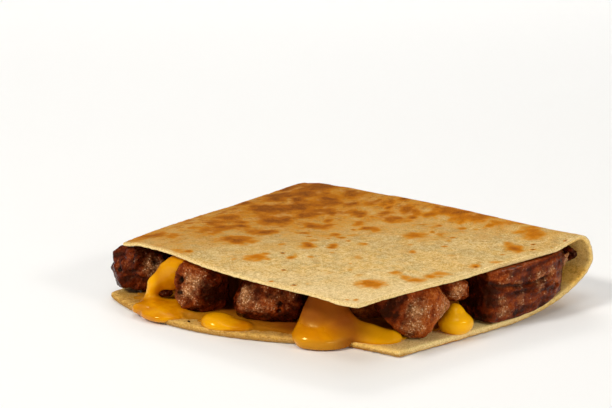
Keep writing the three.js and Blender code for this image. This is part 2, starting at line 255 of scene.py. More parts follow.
def icosphere(level):
    if level not in _ico:
        bm = bmesh.new()
        bmesh.ops.create_icosphere(bm, subdivisions=level, radius=1.0)
        bm.verts.ensure_lookup_table()
        v = np.array([x.co for x in bm.verts])
        f = np.array([[x.index for x in g.verts] for g in bm.faces])
        bm.free()
        v /= np.linalg.norm(v, axis=1)[:, None]
        _ico[level] = (v, f)
    return _ico[level]


def normals_of(v, f):
    n = np.zeros_like(v)
    a, b, c = v[f[:, 0]], v[f[:, 1]], v[f[:, 2]]
    fn = np.cross(b - a, c - a)
    for k in range(3):
        np.add.at(n, f[:, k], fn)
    return n / np.maximum(1e-12, np.linalg.norm(n, axis=1))[:, None]


# ------------------------------------------------------------------ toasted spots
# x, y, half length across the view, half length away from it, strength
SPOTS = [(-33.8, -22.9, 4.8, 4.8, 0.8), (-32.8, -22.7, 7.2, 6.0, 0.35), (-35.3, -6.2, 3.5, 3.7, 0.95),
         (-39.9, -10.3, 2.2, 3.1, 0.5), (-50.4, -13.6, 3.3, 3.1, 0.85), (-49.8, -19.8, 4.6, 4.9, 0.5),
         (-57.0, -20.8, 2.8, 2.5, 0.4), (-51.1, -2.4, 2.1, 2.1, 0.8), (-43.7, 6.2, 3.6, 2.3, 0.85),
         (-43.3, 5.6, 5.6, 4.4, 0.35), (-58.9, -3.3, 4.5, 4.4, 0.55), (-64.3, -16.9, 1.9, 1.9, 0.45),
         (-58.6, 16.8, 3.7, 3.9, 0.8), (-51.8, 19.6, 3.1, 4.5, 0.8), (-55.0, 17.6, 11.5, 6.5, 0.4),
         (-39.1, 20.9, 4.0, 2.6, 0.65), (-28.9, 20.3, 1.5, 1.9, 0.65), (-32.7, 13.8, 2.6, 1.6, 0.45),
         (-45.9, 40.5, 3.5, 3.3, 0.9), (-45.7, 32.0, 6.7, 3.9, 0.6), (-58.7, 38.0, 8.8, 5.3, 0.75),
         (-59.9, 47.9, 7.9, 4.0, 0.7), (-41.2, 48.7, 2.9, 3.3, 0.8), (-25.4, 32.5, 1.7, 2.9, 0.7),
         (-16.7, 23.5, 2.2, 3.7, 0.65), (-11.4, -11.0, 2.5, 4.2, 0.9), (-14.9, -4.0, 2.2, 1.8, 0.5),
         (-4.4, -5.1, 2.3, 3.0, 0.8), (-9.9, 5.6, 1.4, 1.6, 0.75), (-4.7, 3.8, 0.9, 1.1, 0.6), (-13.7, -34.9, 3.6, 3.8, 0.7),
         (-13.8, -29.7, 1.4, 1.7, 0.7), (-18.2, -16.4, 1.4, 1.8, 0.45), (-5.4, -23.8, 1.0, 2.9, 0.35),
         (-17.8, -40.9, 1.4, 1.4, 0.3), (-37.8, -48.0, 3.5, 3.5, 0.35), (-61.8, -38.4, 5.8, 4.3, 0.75),
         (-53.7, -35.0, 2.2, 3.0, 0.4), (7.9, -50.1, 0.7, 0.8, 0.9), (18.5, -44.1, 1.0, 2.7, 0.25),
         (16.4, -30.5, 1.7, 2.2, 0.25), (18.7, -22.9, 1.0, 1.5, 0.35), (30.5, -33.2, 1.0, 3.8, 0.25),
         (39.6, -44.7, 0.8, 1.4, 0.7), (-22.3, -53.3, 2.0, 1.7, 0.4), (11.4, -10.2, 1.6, 2.9, 0.4),
         (-13.1, 45.8, 2.8, 3.8, 0.75), (-6.6, 45.0, 1.7, 1.9, 0.5), (-17.8, 38.8, 2.6, 2.5, 0.55),
         (-9.8, 35.1, 4.1, 3.8, 0.75), (8.2, 35.7, 2.2, 2.5, 0.35), (9.8, 22.7, 4.0, 3.6, 0.75), (16.0, 29.5, 1.8, 2.1, 0.4),
         (23.5, 24.9, 1.1, 2.1, 0.4), (22.0, 6.4, 1.4, 2.3, 0.5), (34.6, 12.2, 1.6, 1.7, 0.3), (33.6, -29.8, 4.7, 4.4, 0.8),
         (32.5, -15.3, 2.3, 2.2, 0.65), (37.1, -17.1, 2.0, 2.2, 0.6), (41.9, -16.9, 3.6, 2.8, 0.7),
         (42.7, -10.4, 2.3, 2.2, 0.65), (43.3, -5.7, 3.3, 2.3, 0.6), (47.1, 8.4, 2.4, 2.1, 0.65),
         (50.3, 16.6, 2.9, 1.5, 0.5), (45.9, 32.5, 2.8, 4.7, 0.9), (41.1, 36.0, 1.8, 1.8, 0.45), (44.6, 47.4, 4.0, 4.2, 0.7),
         (38.7, 48.5, 4.4, 1.8, 0.6), (55.9, 41.5, 0.5, 0.9, 0.6), (3.7, 51.9, 8.1, 4.5, 0.6), (15.2, 50.3, 8.0, 3.8, 0.7),
         (27.3, 51.5, 4.8, 3.1, 0.5), (39.4, 53.5, 4.4, 1.8, 0.5), (1.4, 3.6, 2.5, 2.2, 0.5), (-28.2, 46.2, 3.7, 2.3, 0.45),
         (-56.2, 56.5, 8.8, 4.0, 0.7), (-33.6, 28.0, 1.5, 2.6, 0.55), (25.3, 47.0, 1.1, 1.8, 0.3)]
SPECKS = [(16.1, -47.9), (-10.0, -25.0), (48.6, 40.6), (51.9, 35.7), (57.1, 48.1), (47.8, 8.0), (2.5, -38.2)]


def spot_field(p, spots, seed):
    """Toasting from 0 to 1 at the points p, which are seen along their second and first coordinate."""
    x, y = p[:, 0], p[:, 1]
    q = np.stack([x, y, np.zeros_like(x)], 1)
    wa = fbm(q, 5.0, 3, seed)
    wb = fbm(q, 5.0, 3, seed + 11)
    wc = fbm(q, 2.4, 3, seed + 23)
    keep = np.ones(len(x))
    for sx, sy, a, b, s in spots:
        near = (np.abs(x - sx) < 3.0 * max(a, b)) & (np.abs(y - sy) < 3.0 * max(a, b))
        if not near.any():
            continue
        dx, dy = x[near] - sx, y[near] - sy
        m = min(a, b)
        e = (dx * ACROSS[0] + dy * ACROSS[1] + wa[near] * m * 0.6) / a
        g = (dx * AWAY[0] + dy * AWAY[1] + wb[near] * m * 0.6) / b
        r = (np.hypot(e, g) + 0.26 * wc[near]) / 1.12
        v = s * (0.45 * step(1.75, 0.40, r) + 0.55 * step(1.15, 0.05, r))
        keep[near] *= 1 - v
    return 1 - keep


def random_spots(rng, n, box, sizes, weight):
    out = []
    while len(out) < n:
        x, y = rng.uniform(box[0], box[1]), rng.uniform(box[2], box[3])
        if rng.random() > weight(x, y):
            continue
        a = rng.uniform(*sizes) * rng.uniform(0.7, 1.3)
        out.append((x, y, a, a * rng.uniform(0.6, 1.4), rng.uniform(0.30, 0.92)))
    return out


# ------------------------------------------------------------------ tortilla
def resample(line, n):
    d = np.concatenate([[0], np.cumsum(np.linalg.norm(np.diff(line, axis=0), axis=1))])
    t = np.linspace(0, d[-1], n + 1)
    return np.stack([np.interp(t, d, line[:, k]) for k in range(2)], 1)


def sheet_grid(m, counts, inset_rim, inset_cut):
    """Points of the sheet's outer face: rows from the +X cut to the -X cut, columns from the lower rim over the fold to the upper rim."""
    n1, n2, n3, n4 = counts
    rows = []
    us = np.linspace(0, 1, m + 1)
    wq = np.stack([us * 118, np.zeros(m + 1), np.zeros(m + 1)], 1)
    low_jit = 0.30 * np.abs(fbm(wq, 6, 3, 3)) + 0.22 * fbm(wq + 50, 1.6, 2, 5)
    top_jit = 0.35 * np.abs(fbm(wq + 90, 5, 3, 8)) + 0.34 * fbm(wq + 150, 1.7, 2, 9)
    for i, u in enumerate(us):
        w = 1 - u
        y_low = rim_low(w) + inset_rim + low_jit[i]
        y_top = rim_top(w) + inset_rim + top_jit[i]
        a, zn = lift_run(u), nose_z(u)
        yc, yf = NOSE_Y - a, NOSE_Y - CREASE_RUN
        zf = top_z(x_at(yf, u, 1), yf, u) - zn
        s1 = np.stack([np.linspace(y_low, yc, 60), np.zeros(60)], 1)
        t = np.linspace(0, np.pi / 2, 160)
        s2 = np.stack([yc + a * np.sin(t), zn * (1 - np.maximum(0, np.cos(t)) ** LIFT_POWER)], 1)
        s3 = np.stack([yf + CREASE_RUN * np.cos(t), zn + zf * np.sin(t)], 1)
        y = np.linspace(yf, y_top, 200)
        s4 = np.stack([y, top_z(x_at(y, u, 1), y, u)], 1)
        line = np.concatenate([resample(s1, n1)[:-1], resample(s2, n2)[:-1], resample(s3, n3)[:-1], resample(s4, n4)])
        low = np.arange(len(line)) < n1 + n2
        x = np.where(low, x_at(line[:, 0], u), x_at(line[:, 0], u, 1))
        rows.append(np.column_stack([x, line]))
    g = np.array(rows)
    # the knife's wander, only inwards
    s = np.arange(g.shape[1]) * 0.5
    for side, sign, seed in ((0, -1.0, 21), (m, 1.0, 31)):
        q = np.stack([s, np.zeros_like(s), np.zeros_like(s)], 1)
        j = inset_cut + 0.35 * np.abs(fbm(q, 9, 3, seed)) + 0.42 * np.abs(fbm(q + 33, 1.8, 2, seed + 3))
        fall = np.exp(-np.linspace(0, 1, m + 1) * 14)
        if side == m:
            fall = fall[::-1]
        g[:, :, 0] += sign * fall[:, None] * j[None, :]
    return g


def grid_normals(g):
    du = np.gradient(g, axis=0)
    ds = np.gradient(g, axis=1)
    n = np.cross(du, ds)
    n /= np.maximum(1e-9, np.linalg.norm(n, axis=2))[:, :, None]
    mid = g.shape[1] - 5
    if n[g.shape[0] // 2, mid, 2] < 0:
        n = -n
    return n


def build_tortilla():
    m, counts = 232, (62, 56, 28, 166)
    n_all = sum(counts)
    g = sheet_grid(m, counts, 0.45, 0.12)
    nrm = grid_normals(g)
    flat = g.reshape(-1, 3)
    top = step(0, 6, g[:, :, 2] - 8).reshape(-1)
    low = 1 - step(0, 1.5, g[:, :, 2]).reshape(-1)

    # toasting
    rng = np.random.default_rng(41)
    spots = list(SPOTS)
    spots += random_spots(rng, 105, (-73, 36, -14, 61), (0.9, 3.1),
                          lambda x, y: clip(0.02 + ((y - x) / 112) ** 1.5 if y > x else 0.02, 0, 1))
    spots += random_spots(rng, 26, (-60, 50, -48, 55), (0.5, 1.2), lambda x, y: 1.0)
    t_top = spot_field(flat, spots, 60)
    under = random_spots(rng, 78, (-74, 56, -58, 62), (1.4, 4.6), lambda x, y: 0.8)
    t_under = spot_field(flat * np.array([1, 1, 0]), under, 90)
    arc = np.arange(g.shape[1])[None, :] * 0.5 + np.zeros((m + 1, 1))
    around = np.stack([g[:, :, 0], arc, np.zeros_like(arc)], 2).reshape(-1, 3)
    turn = random_spots(rng, 44, (-74, 56, 40, 84), (1.4, 4.4), lambda x, y: 0.9)
    t_turn = spot_field(around, turn, 130)
    upper = (np.arange(g.shape[1])[None, :] >= counts[0] + counts[1] + counts[2] // 2) + np.zeros((m + 1, 1))
    upper = upper.reshape(-1)
    blend = step(NOSE_Y - 9, NOSE_Y - 3, flat[:, 1])
    toast = np.where(upper > 0.5, lerp(t_top, t_turn, blend), lerp(t_under, t_turn, step(38, 56, flat[:, 1])))
    for sx, sy in SPECKS:
        d = np.hypot(flat[:, 0] - sx, flat[:, 1] - sy)
        toast = np.where(upper > 0.5, np.maximum(toast, 1.15 * step(1.0, 0.45, d)), toast)
    # a broad tan where the pan was hottest: towards the far corner and along the fold
    away = flat @ AWAY
    flecks = fbm(flat, 11, 4, 77)
    tan = 0.95 * step(-30, 78, away + 14 * flecks) + 0.30 * step(40, 60, flat[:, 1] + 7 * flecks) + 0.20 * flecks
    # more tan towards the -X end, partly painted shade where the top is darker to the left; less towards the front
    tan = tan + 0.36 * step(5, -66, flat[:, 0]) - 0.30 * step(-26, -58, away)
    tan = clip(tan, -0.3, 1)
    tan = np.where(upper > 0.5, tan, clip(0.42 + 0.3 * fbm(flat, 15, 3, 78), 0, 1))

    # a floury band along the upper flap's own cut and rim
    w_top = 1 - u_at(flat[:, 0], flat[:, 1], 1)
    rag = 0.7 * fbm(flat, 2.2, 3, 88)
    d_edge = np.minimum(cut_px(flat[:, 1], 1) - flat[:, 0], (flat[:, 1] - rim_top(w_top)) * 1.3) + rag
    edge = np.where(upper > 0.5, step(2.0, 0.5, d_edge) * step(30, 24.6, flat[:, 2]), 0)

    shade = 0.10 * step(-30, 10, away) + 0.07 * step(0, -50, flat[:, 0]) + 0.07 * step(20, 70, away)
    shade = np.where(upper > 0.5, shade, 0)

    # relief
    blister = fbm(flat, 10, 3, 15)
    puff = 0.20 * step(0.05, 0.9, blister) + 0.10 * toast
    grain = 0.045 * fbm(flat, 1.9, 3, 19) + 0.03 * fbm(flat, 1.1, 2, 29)
    f1, f2, own = worley(flat, 4.6, 5)
    pock = -0.08 * step(0.34, 0.12, f1) * (own > 0.62)
    relief = puff + grain + pock
    on_floor = low * 1.0
    depth = -SKIN * (1 - on_floor) + relief * 0.9 * (1 - on_floor) - on_floor * (0.02 + np.maximum(0, 0.10 - relief))
    outer = flat + nrm.reshape(-1, 3) * depth[:, None]
    outer = outer.reshape(g.shape)
    col_j = np.arange(g.shape[1]) - counts[0] - counts[1]
    sheet_t = lerp(T, TOP_T, smooth(col_j / (counts[2] + 22.0)))[None, :]
    inner = g - nrm * (sheet_t - 0.08)[:, :, None]
    wav = 0.09 * fbm(inner.reshape(-1, 3), 5, 3, 55) + 0.05 * fbm(inner.reshape(-1, 3), 1.6, 2, 56)
    inner = inner + nrm * wav.reshape(g.shape[:2])[:, :, None]
    M, N = m, n_all

    # boundary loop
    loop = [(0, j) for j in range(N)] + [(i, N) for i in range(M)] + [(M, j) for j in range(N, 0, -1)] + [(i, 0) for i in range(M, 0, -1)]
    L = len(loop)
    li = np.array(loop)
    o_b, i_b = outer[li[:, 0], li[:, 1]], inner[li[:, 0], li[:, 1]]
    out_dir = np.zeros((L, 3))
    rim_part = np.zeros(L)
    for k, (i, j) in enumerate(loop):
        d = np.zeros(3)
        if i == 0:
            e = g[0, j] - g[1, j]
            d += e / np.linalg.norm(e)
        if i == M:
            e = g[M, j] - g[M - 1, j]
            d += e / np.linalg.norm(e)
        if j == 0:
            e = g[i, 0] - g[i, 1]
            d += e / np.linalg.norm(e)
            rim_part[k] = 1
        if j == N:
            e = g[i, N] - g[i, N - 1]
            d += e / np.linalg.norm(e)
            rim_part[k] = 1
        out_dir[k] = d
    K = 5
    band = []
    for k in range(1, K + 1):
        t = k / (K + 1)
        s = abs(2 * t - 1)
        bulge = rim_part * 0.45 * math.sqrt(max(0, 1 - s**2.4)) + (1 - rim_part) * 0.14 * (1 - s**6)
        base = lerp(o_b, i_b, t)
        crumb = 0.20 * fbm(base + 200, 1.1, 2, 66) + 0.10 * fbm(base, 3.0, 2, 67)
        band.append(base + out_dir * (bulge + crumb - 0.06)[:, None])
    verts = [outer.reshape(-1, 3)] + band
    n_outer = (M + 1) * (N + 1)
    oid = lambda i, j: i * (N + 1) + j
    # inner vertices: every second one inside, all on the boundary
    iid = -np.ones((M + 1, N + 1), int)
    base_n = n_outer + K * L
    for k, (i, j) in enumerate(loop):
        iid[i, j] = base_n + k
    verts.append(i_b)
    inside = [(i, j) for i in range(2, M, 2) for j in range(2, N, 2)]
    ii = np.array(inside)
    iid[ii[:, 0], ii[:, 1]] = base_n + L + np.arange(len(inside))
    verts.append(inner[ii[:, 0], ii[:, 1]])
    V = np.concatenate(verts)
    faces = []
    I, J = np.meshgrid(np.arange(M), np.arange(N), indexing="ij")
    a = (I * (N + 1) + J).reshape(-1)
    b = ((I + 1) * (N + 1) + J).reshape(-1)
    c = ((I + 1) * (N + 1) + J + 1).reshape(-1)
    d = (I * (N + 1) + J + 1).reshape(-1)
    faces += np.stack([a, b, c, d], 1).tolist()
    # bands
    rings = [np.array([oid(i, j) for i, j in loop])]
    for k in range(K):
        rings.append(n_outer + k * L + np.arange(L))
    rings.append(base_n + np.arange(L))
    for r0, r1 in zip(rings[:-1], rings[1:]):
        nx0, nx1 = np.roll(r0, -1), np.roll(r1, -1)
        faces += np.stack([r0, nx0, nx1, r1], 1).tolist()
    # inner
    for i0 in range(0, M, 2):
        for j0 in range(0, N, 2):
            poly = [(i0, j0)]
            if j0 == 0:
                poly.append((i0 + 1, j0))
            poly.append((i0 + 2, j0))
            if i0 + 2 == M:
                poly.append((i0 + 2, j0 + 1))
            poly.append((i0 + 2, j0 + 2))
            if j0 + 2 == N:
                poly.append((i0 + 1, j0 + 2))
            poly.append((i0, j0 + 2))
            if i0 == 0:
                poly.append((i0, j0 + 1))
            faces.append([int(iid[p]) for p in poly][::-1])
    V[:, 2] = np.maximum(V[:, 2], 0.02)

    # attributes
    n_v = len(V)
    a_toast = np.zeros(n_v)
    a_toast[:n_outer] = toast
    a_tan = np.zeros(n_v)
    a_tan[:n_outer] = tan
    a_edge = np.zeros(n_v)
    a_edge[:n_outer] = edge
    a_shade = np.zeros(n_v)
    a_shade[:n_outer] = shade
    side = np.ones(n_v)
    side[:n_outer] = 0
    for k in range(K):
        side[n_outer + k * L : n_outer + (k + 1) * L] = (k + 1) / (K + 1)
    # browning at the lower outer line of the edges
    ob = np.array([oid(i, j) for i, j in loop])
    for k in range(K):
        t = (k + 1) / (K + 1)
        a_toast[n_outer + k * L : n_outer + (k + 1) * L] = toast[ob] * max(0, 1 - 1.6 * t)
        a_tan[n_outer + k * L : n_outer + (k + 1) * L] = tan[ob] * max(0, 1 - 1.5 * t)
    # cheese and grease that has soaked into the inside of the lower flap and the fold
    x, y, z = V[:, 0], V[:, 1], V[:, 2]
    u = u_at(x, y)
    d_rim = y - rim_low(1 - u)
    d_px = cut_px(y) - x
    d_nx = x - cut_nx(y)
    wide = fbm(V, 7, 3, 99)
    lower = step(16, 11, z) * np.ones(n_v)
    greasy = step(2.0, 6.4, d_rim + 2.0 * wide) * step(6.0, 12.0, d_px + 2.5 * wide) * step(0.5, 5, d_nx + 2 * wide)
    rimgold = (0.85 + 0.15 * step(0, -60, x)) * step(64, 20, x + 3 * wide) * step(9, 1, d_rim)
    smear = 1.3 * np.exp(-(((y - 54.0 - 1.2 * wide) / 5.4) ** 2 + ((z - 10.4) / 5.0) ** 2)) * step(18, 7, d_px + 2 * wide)
    wall = 0.62 * step(44, 50, y) * step(4, 7, z) * step(26, 8, d_px + 4 * wide)
    soak = np.maximum(np.maximum(np.maximum(greasy * lower, rimgold * lower), 1.1 * smear), wall)
    soak = clip(soak, 0, 1) * step(0.10, 0.70, side)
    flour = step(3.6, 1.0, d_rim + 0.7 * wide) * lower * step(0.6, 0.95, side)
    # a brighter golden stain at the lower rim's tip, in the smear and on the fold wall; on the shaded fold wall it is
    # partly painted light
    gold = np.maximum(step(10, 34, x) * step(9, 1, d_rim) * lower, np.maximum(step(0.05, 0.4, smear), step(0.02, 0.2, wall))) * step(0.10, 0.70, side)
    # painted light: lighter cream on the fold's inner wall and on the lower flap near the +X cut, which lie in shade
    lit = np.maximum(step(44, 51, y) * step(4, 8, z) * step(40, 16, d_px), 0.8 * step(13, 7, d_px + 1.5 * wide) * step(44, 36, y) * lower) * step(0.5, 0.95, side)
    # darker towards the lower outer line of the edge bands: partly browned crust, partly painted shade where the band
    # faces down
    crust_and_painted_shade = np.zeros(n_v)
    for k in range(K):
        t = (k + 1) / (K + 1)
        crust_and_painted_shade[n_outer + k * L : n_outer + (k + 1) * L] = max(0, 1.15 - 1.7 * t)
    on_rim = step(7.0, 2.5, d_rim)
    crust_and_painted_shade = crust_and_painted_shade * step(18, 14, z) * lerp(0.30, 1.0, on_rim)
    # painted light: the cut edge faces made paler high up, by the fold and away from the lower rim, where they lie in
    # shade
    pale = np.maximum(np.maximum(step(17, 20, z), 0.8 * step(44, 52, y)), 0.75 * (1 - on_rim) * step(40, 20, y)) * step(0.0, 0.3, side) * (side < 0.95)
    V[:, 2] = np.minimum(V[:, 2], 25.36)
    o = make_object("tortilla_folded", V, faces, {"toast": a_toast, "tan": a_tan, "side": side, "soak": soak, "crust_and_painted_shade": crust_and_painted_shade, "pale": pale, "edge": a_edge, "shade": a_shade, "gold": gold, "lit": lit, "flour": flour})
    # outward winding
    bm = bmesh.new()
    bm.from_mesh(o.data)
    bmesh.ops.recalc_face_normals(bm, faces=bm.faces)
    if bm.calc_volume(signed=True) < 0:
        bmesh.ops.reverse_faces(bm, faces=bm.faces)
    bm.to_mesh(o.data)
    bm.free()
    return o


# ------------------------------------------------------------------ beef
D = math.pi / 180


def rot_zyx(yaw, tx=0.0, ty=0.0):
    cz, sz, cy, sy, cx, sx = math.cos(yaw), math.sin(yaw), math.cos(ty), math.sin(ty), math.cos(tx), math.sin(tx)
    rz = np.array([[cz, -sz, 0], [sz, cz, 0], [0, 0, 1]])
    ry = np.array([[cy, 0, sy], [0, 1, 0], [-sy, 0, cy]])
    rx = np.array([[1, 0, 0], [0, cx, -sx], [0, sx, cx]])
    return rz @ ry @ rx


# at, half sizes, yaw, exponent; "faces" are flats left by the knife (heading, slope, distance);
# "pits" are x, y, z, radius, depth; "folds" are lines of points with width and depth;
# "patches" are x, y, z, radius, change of tone, fat; besides fat and paler or darker flesh they paint light and shade:
# lighter on lit faces and ridges (painted light and painted highlights), darker on sides under the upper flap and
# turned from the lamps (painted shade)
CHUNKS = {
    "beef_corner": dict(at=(-63.4, -40.8, 11.2), abc=(11.2, 10.9, 9.8), yaw=20, e=2.6, seed=1, level=7, rough=1.35, tone=0.20, grain=(0.8, 0.5, 0.3),
        nodules=(5.2, 1.3), faces=[(300, -12, 9.0), (262, 24, 9.4)],
        lobes=[(-71.4, -47.8, 15.0, 3.6, (-0.8, -0.7, 0.1)), (-71.6, -48.0, 9.0, 3.2, (-0.8, -0.7, 0.0)), (-70.6, -47.4, 4.6, 2.6, (-0.4, -0.3, 0.0))],
        pits=[(-58.8, -49.7, 6.5, 2.0, 1.5), (-53.0, -44.9, 15.0, 1.8, 1.2), (-62.5, -51.5, 16.6, 2.4, 0.8), (-66.5, -50.0, 11.0, 1.2, 0.9), (-72.3, -48.6, 12.2, 1.2, 0.45), (-72.0, -48.2, 6.6, 1.2, 0.4)],
        # (-57.4, -49.8, 9.4) is a painted highlight; (-56.0, -48.5, 17.5) is painted shade under the upper flap
        patches=[(-53.3, -46.4, 13.2, 3.6, 0.34, 0.95), (-57.4, -49.8, 9.4, 1.7, 0.30, 0.6), (-64.5, -50.5, 8.0, 5.0, -0.08, 0.0), (-56.0, -48.5, 17.5, 4.5, -0.25, 0.0), (-61.5, -51.0, 13.5, 3.2, 0.10, 0.25)]),
    "beef_rim_left": dict(at=(-31.2, -43.3, 11.2), abc=(9.8, 10.6, 10.6), yaw=42, e=2.8, seed=2, level=7, rough=1.15, tone=0.36, grain=(0.5, 0.8, 0.4),
        nodules=(4.4, 0.8), faces=[(286, 12, 8.8), (338, -16, 8.8), (312, 44, 9.6), (300, -46, 11.4)],
        pits=[(-32.9, -52.2, 14.4, 1.25, 1.4), (-32.6, -53.0, 10.0, 1.1, 0.9), (-24.8, -50.7, 8.0, 0.8, 0.5)],
        # the light patches on the upper left are fat and painted light; (-22.0, -46.0, 10.5) is painted shade on the
        # right side
        patches=[(-28.4, -50.8, 14.6, 3.4, 0.14, 0.80), (-29.6, -52.4, 10.6, 3.4, 0.10, 0.70), (-32.5, -53.0, 6.6, 2.6, 0.12, 0.5), (-22.0, -46.0, 10.5, 5.4, -0.34, 0.0), (-25.8, -51.7, 5.4, 3.4, 0.02, 0.2)]),
    "beef_rim_middle": dict(at=(-6.4, -34.7, 11.2), abc=(13.8, 9.8, 10.4), yaw=27, e=3.0, seed=3, level=7, rough=1.0, tone=0.22, grain=(1, 0.1, 0.2),
        nodules=(4.6, 0.7), faces=[(304, 6, 9.0), (318, 44, 9.4), (300, -40, 10.8), (22, 4, 12.6), (222, 30, 10.4)],
        pits=[(2.2, -40.4, 10.0, 1.45, 1.8), (2.5, -40.3, 7.9, 1.2, 1.3), (3.6, -39.2, 5.0, 1.4, 0.7)],
        # the light patches on the upper left are fat and painted light
        patches=[(-9.0, -46.0, 12.4, 3.8, 0.20, 0.85), (-8.4, -46.0, 9.0, 2.8, 0.14, 0.60), (-4.0, -44.3, 9.0, 3.4, 0.12, 0.45), (-0.5, -42.0, 11.4, 4.4, 0.14, 0.30), (4.4, -38.4, 12.4, 3.6, 0.02, 0.25), (-1.4, -41.4, 3.4, 3.0, -0.30, 0.0)]),
    # its tone is raised so this piece, deep in the shade behind the flap's tip, reads lighter: painted light
    "beef_rim_behind": dict(at=(18.8, -12.4, 11.2), abc=(8.2, 8.0, 9.2), yaw=35, e=2.8, seed=4, level=6, rough=0.8, tone=0.72, grain=(1, 0.3, 0.2)),
    "beef_cut_tip": dict(at=(38.8, -15.8, 11.2), abc=(11.4, 8.6, 11.4), yaw=42, e=3.0, seed=5, level=7, rough=0.7, tone=0.56, grain=(0.35, 0.2, 1),
        faces=[(222, -42, 8.2), (250, -52, 9.8), (36, -34, 9.6), (50, 2, 10.0)], nodules=(5.5, 0.3), lobes=[(46.0, -8.5, 12.5, 3.8, (2.4, 2.6, 0.0)), (34.0, -26.0, 14.0, 4.0, (-1.2, -0.8, 0.0))],
        pits=[(33.0, -25.5, 14.0, 1.0, 0.7)],
        # the dark patches on the left and along the top under the flap are painted shade
        patches=[(35.0, -26.0, 11.0, 6.4, -0.44, 0.0), (45.6, -21.0, 12.6, 3.6, 0.10, 0.80), (45.0, -21.6, 7.6, 3.4, 0.06, 0.70), (38.6, -26.2, 12.8, 3.4, -0.30, 0.0), (43.0, -21.4, 3.0, 2.6, -0.22, 0.0), (47.5, -11.0, 11.0, 4.6, -0.02, 0.8), (41.0, -21.0, 17.0, 5.0, -0.30, 0.0)]),
    "beef_cut_small": dict(at=(43.4, 0.3, 15.2), abc=(6.8, 6.2, 5.0), yaw=30, e=2.6, seed=6, level=7, rough=1.3, tone=0.36, grain=(1, 0.2, 0.1), nodules=(4.0, 0.9), faces=[(330, -30, 5.4)],
        patches=[(48.2, -1.8, 15.3, 3.0, 0.26, 0.75), (44.0, -5.2, 15.0, 3.2, -0.24, 0.0)]),
    "beef_cut_block": dict(at=(46.6, 28.9, 11.0), abc=(11.8, 20.2, 13.4), yaw=-7.5, e=4.2, seed=7, level=7, rough=0.62, tone=0.29, grain=(0.10, 1, 0.10),
        nodules=(9.0, 0.3), streak=1.0, calm=1.0, lobes=[(55.5, 46.0, 18.5, 4.5, (-0.8, 3.4, 0.6)), (52.0, 9.0, 2.5, 4.5, (1.4, -1.0, 0.0))], faces=[(60, -20, 20.6), (20, -46, 14.5)],
        folds=[([(53.6, 10.2, 16.0), (56.2, 16.1, 14.9), (57.3, 22.3, 13.9), (58.0, 27.9, 14.0), (58.6, 33.5, 14.4), (58.9, 37.6, 15.2)], 0.95, 0.9),
               ([(56.6, 18.1, 12.0), (57.8, 25.7, 11.4), (58.6, 32.6, 11.4), (59.1, 38.3, 12.8), (58.9, 40.6, 10.6)], 0.6, 0.55),
               ([(57.0, 20.0, 10.3), (58.0, 27.0, 9.6), (58.8, 34.0, 9.2)], 0.45, 0.30),
               ([(55.6, 14.0, 9.4), (57.0, 19.0, 7.6), (57.8, 26.0, 5.4)], 0.5, 0.30)],
        pits=[(57.1, 19.6, 4.6, 1.6, 0.3)],
        # (48.0, 9.6, 12.0) is painted shade on the left face; the light patches along the ridges are partly painted
        # highlights
        patches=[(55.5, 14.0, 18.6, 5.5, 0.10, 0.20), (57.6, 25.7, 18.4, 7.0, 0.04, 0.05), (48.0, 9.6, 12.0, 7.0, -0.40, 0.0), (53.2, 10.0, 14.0, 2.6, -0.20, 0.0), (55.9, 14.1, 6.4, 3.4, 0.10, 0.46), (55.6, 12.9, 9.8, 2.6, 0.08, 0.40),
                 (57.5, 21.4, 9.2, 3.0, 0.08, 0.36), (57.2, 20.5, 14.6, 2.6, 0.04, 0.30), (58.6, 31.0, 15.4, 3.0, 0.10, 0.44), (59.2, 37.0, 16.0, 2.4, 0.12, 0.45), (58.6, 31.0, 11.8, 2.6, 0.10, 0.40), (59.3, 40.5, 12.0, 2.4, 0.12, 0.30),
                 (58.3, 28.3, 6.0, 4.0, 0.04, 0.10), (59.0, 33.9, 6.0, 4.0, -0.06, 0.10), (57.1, 19.6, 3.4, 2.6, -0.25, 0.0)]),
    "beef_cut_fold": dict(at=(49.6, 55.0, 17.8), abc=(7.6, 3.3, 3.8), yaw=4, e=2.3, seed=8, level=6, rough=1.5, tone=0.08, grain=(1, 0.2, 0.2), nodules=(3.0, 0.9)),
    "beef_far_a": dict(at=(-62.6, -15.0, 11.0), abc=(10.2, 11.4, 9.4), yaw=-6, e=3.0, seed=9, level=6, rough=0.9, tone=0.35, grain=(0.3, 1, 0.2), nodules=(6.0, 0.5),
        patches=[(-72.0, -14.0, 12.0, 4.5, 0.20, 0.4), (-72.0, -20.0, 7.0, 4.0, -0.2, 0.0)], pits=[(-72.4, -10.0, 9.0, 1.5, 1.2)]),
    "beef_far_b": dict(at=(-62.4, 12.2, 11.0), abc=(11.0, 11.4, 9.4), yaw=10, e=2.8, seed=10, level=6, rough=0.9, tone=0.48, grain=(0.2, 0.4, 1), nodules=(6.0, 0.5),
        patches=[(-73.0, 8.0, 13.0, 4.0, -0.22, 0.0), (-72.0, 16.0, 9.0, 4.6, 0.14, 0.3)], pits=[(-73.0, 13.0, 14.0, 1.2, 1.0)]),
    "beef_far_c": dict(at=(-60.4, 38.6, 12.2), abc=(11.6, 11.8, 9.6), yaw=-12, e=2.7, seed=11, level=6, rough=0.9, tone=0.30, grain=(1, 0.4, 0.1), nodules=(6.0, 0.5),
        patches=[(-71.0, 36.0, 12.0, 4.6, 0.2, 0.3)], pits=[(-71.6, 42.0, 13.0, 1.5, 1.2)]),
    # its low tone is painted shade where it shows through the gap between the rim chunks
    "beef_inner": dict(at=(-31.6, -17.0, 11.0), abc=(11.0, 9.6, 9.0), yaw=30, e=2.8, seed=12, level=5, rough=0.8, tone=0.15, grain=(0.5, 0.5, 0.5)),
}


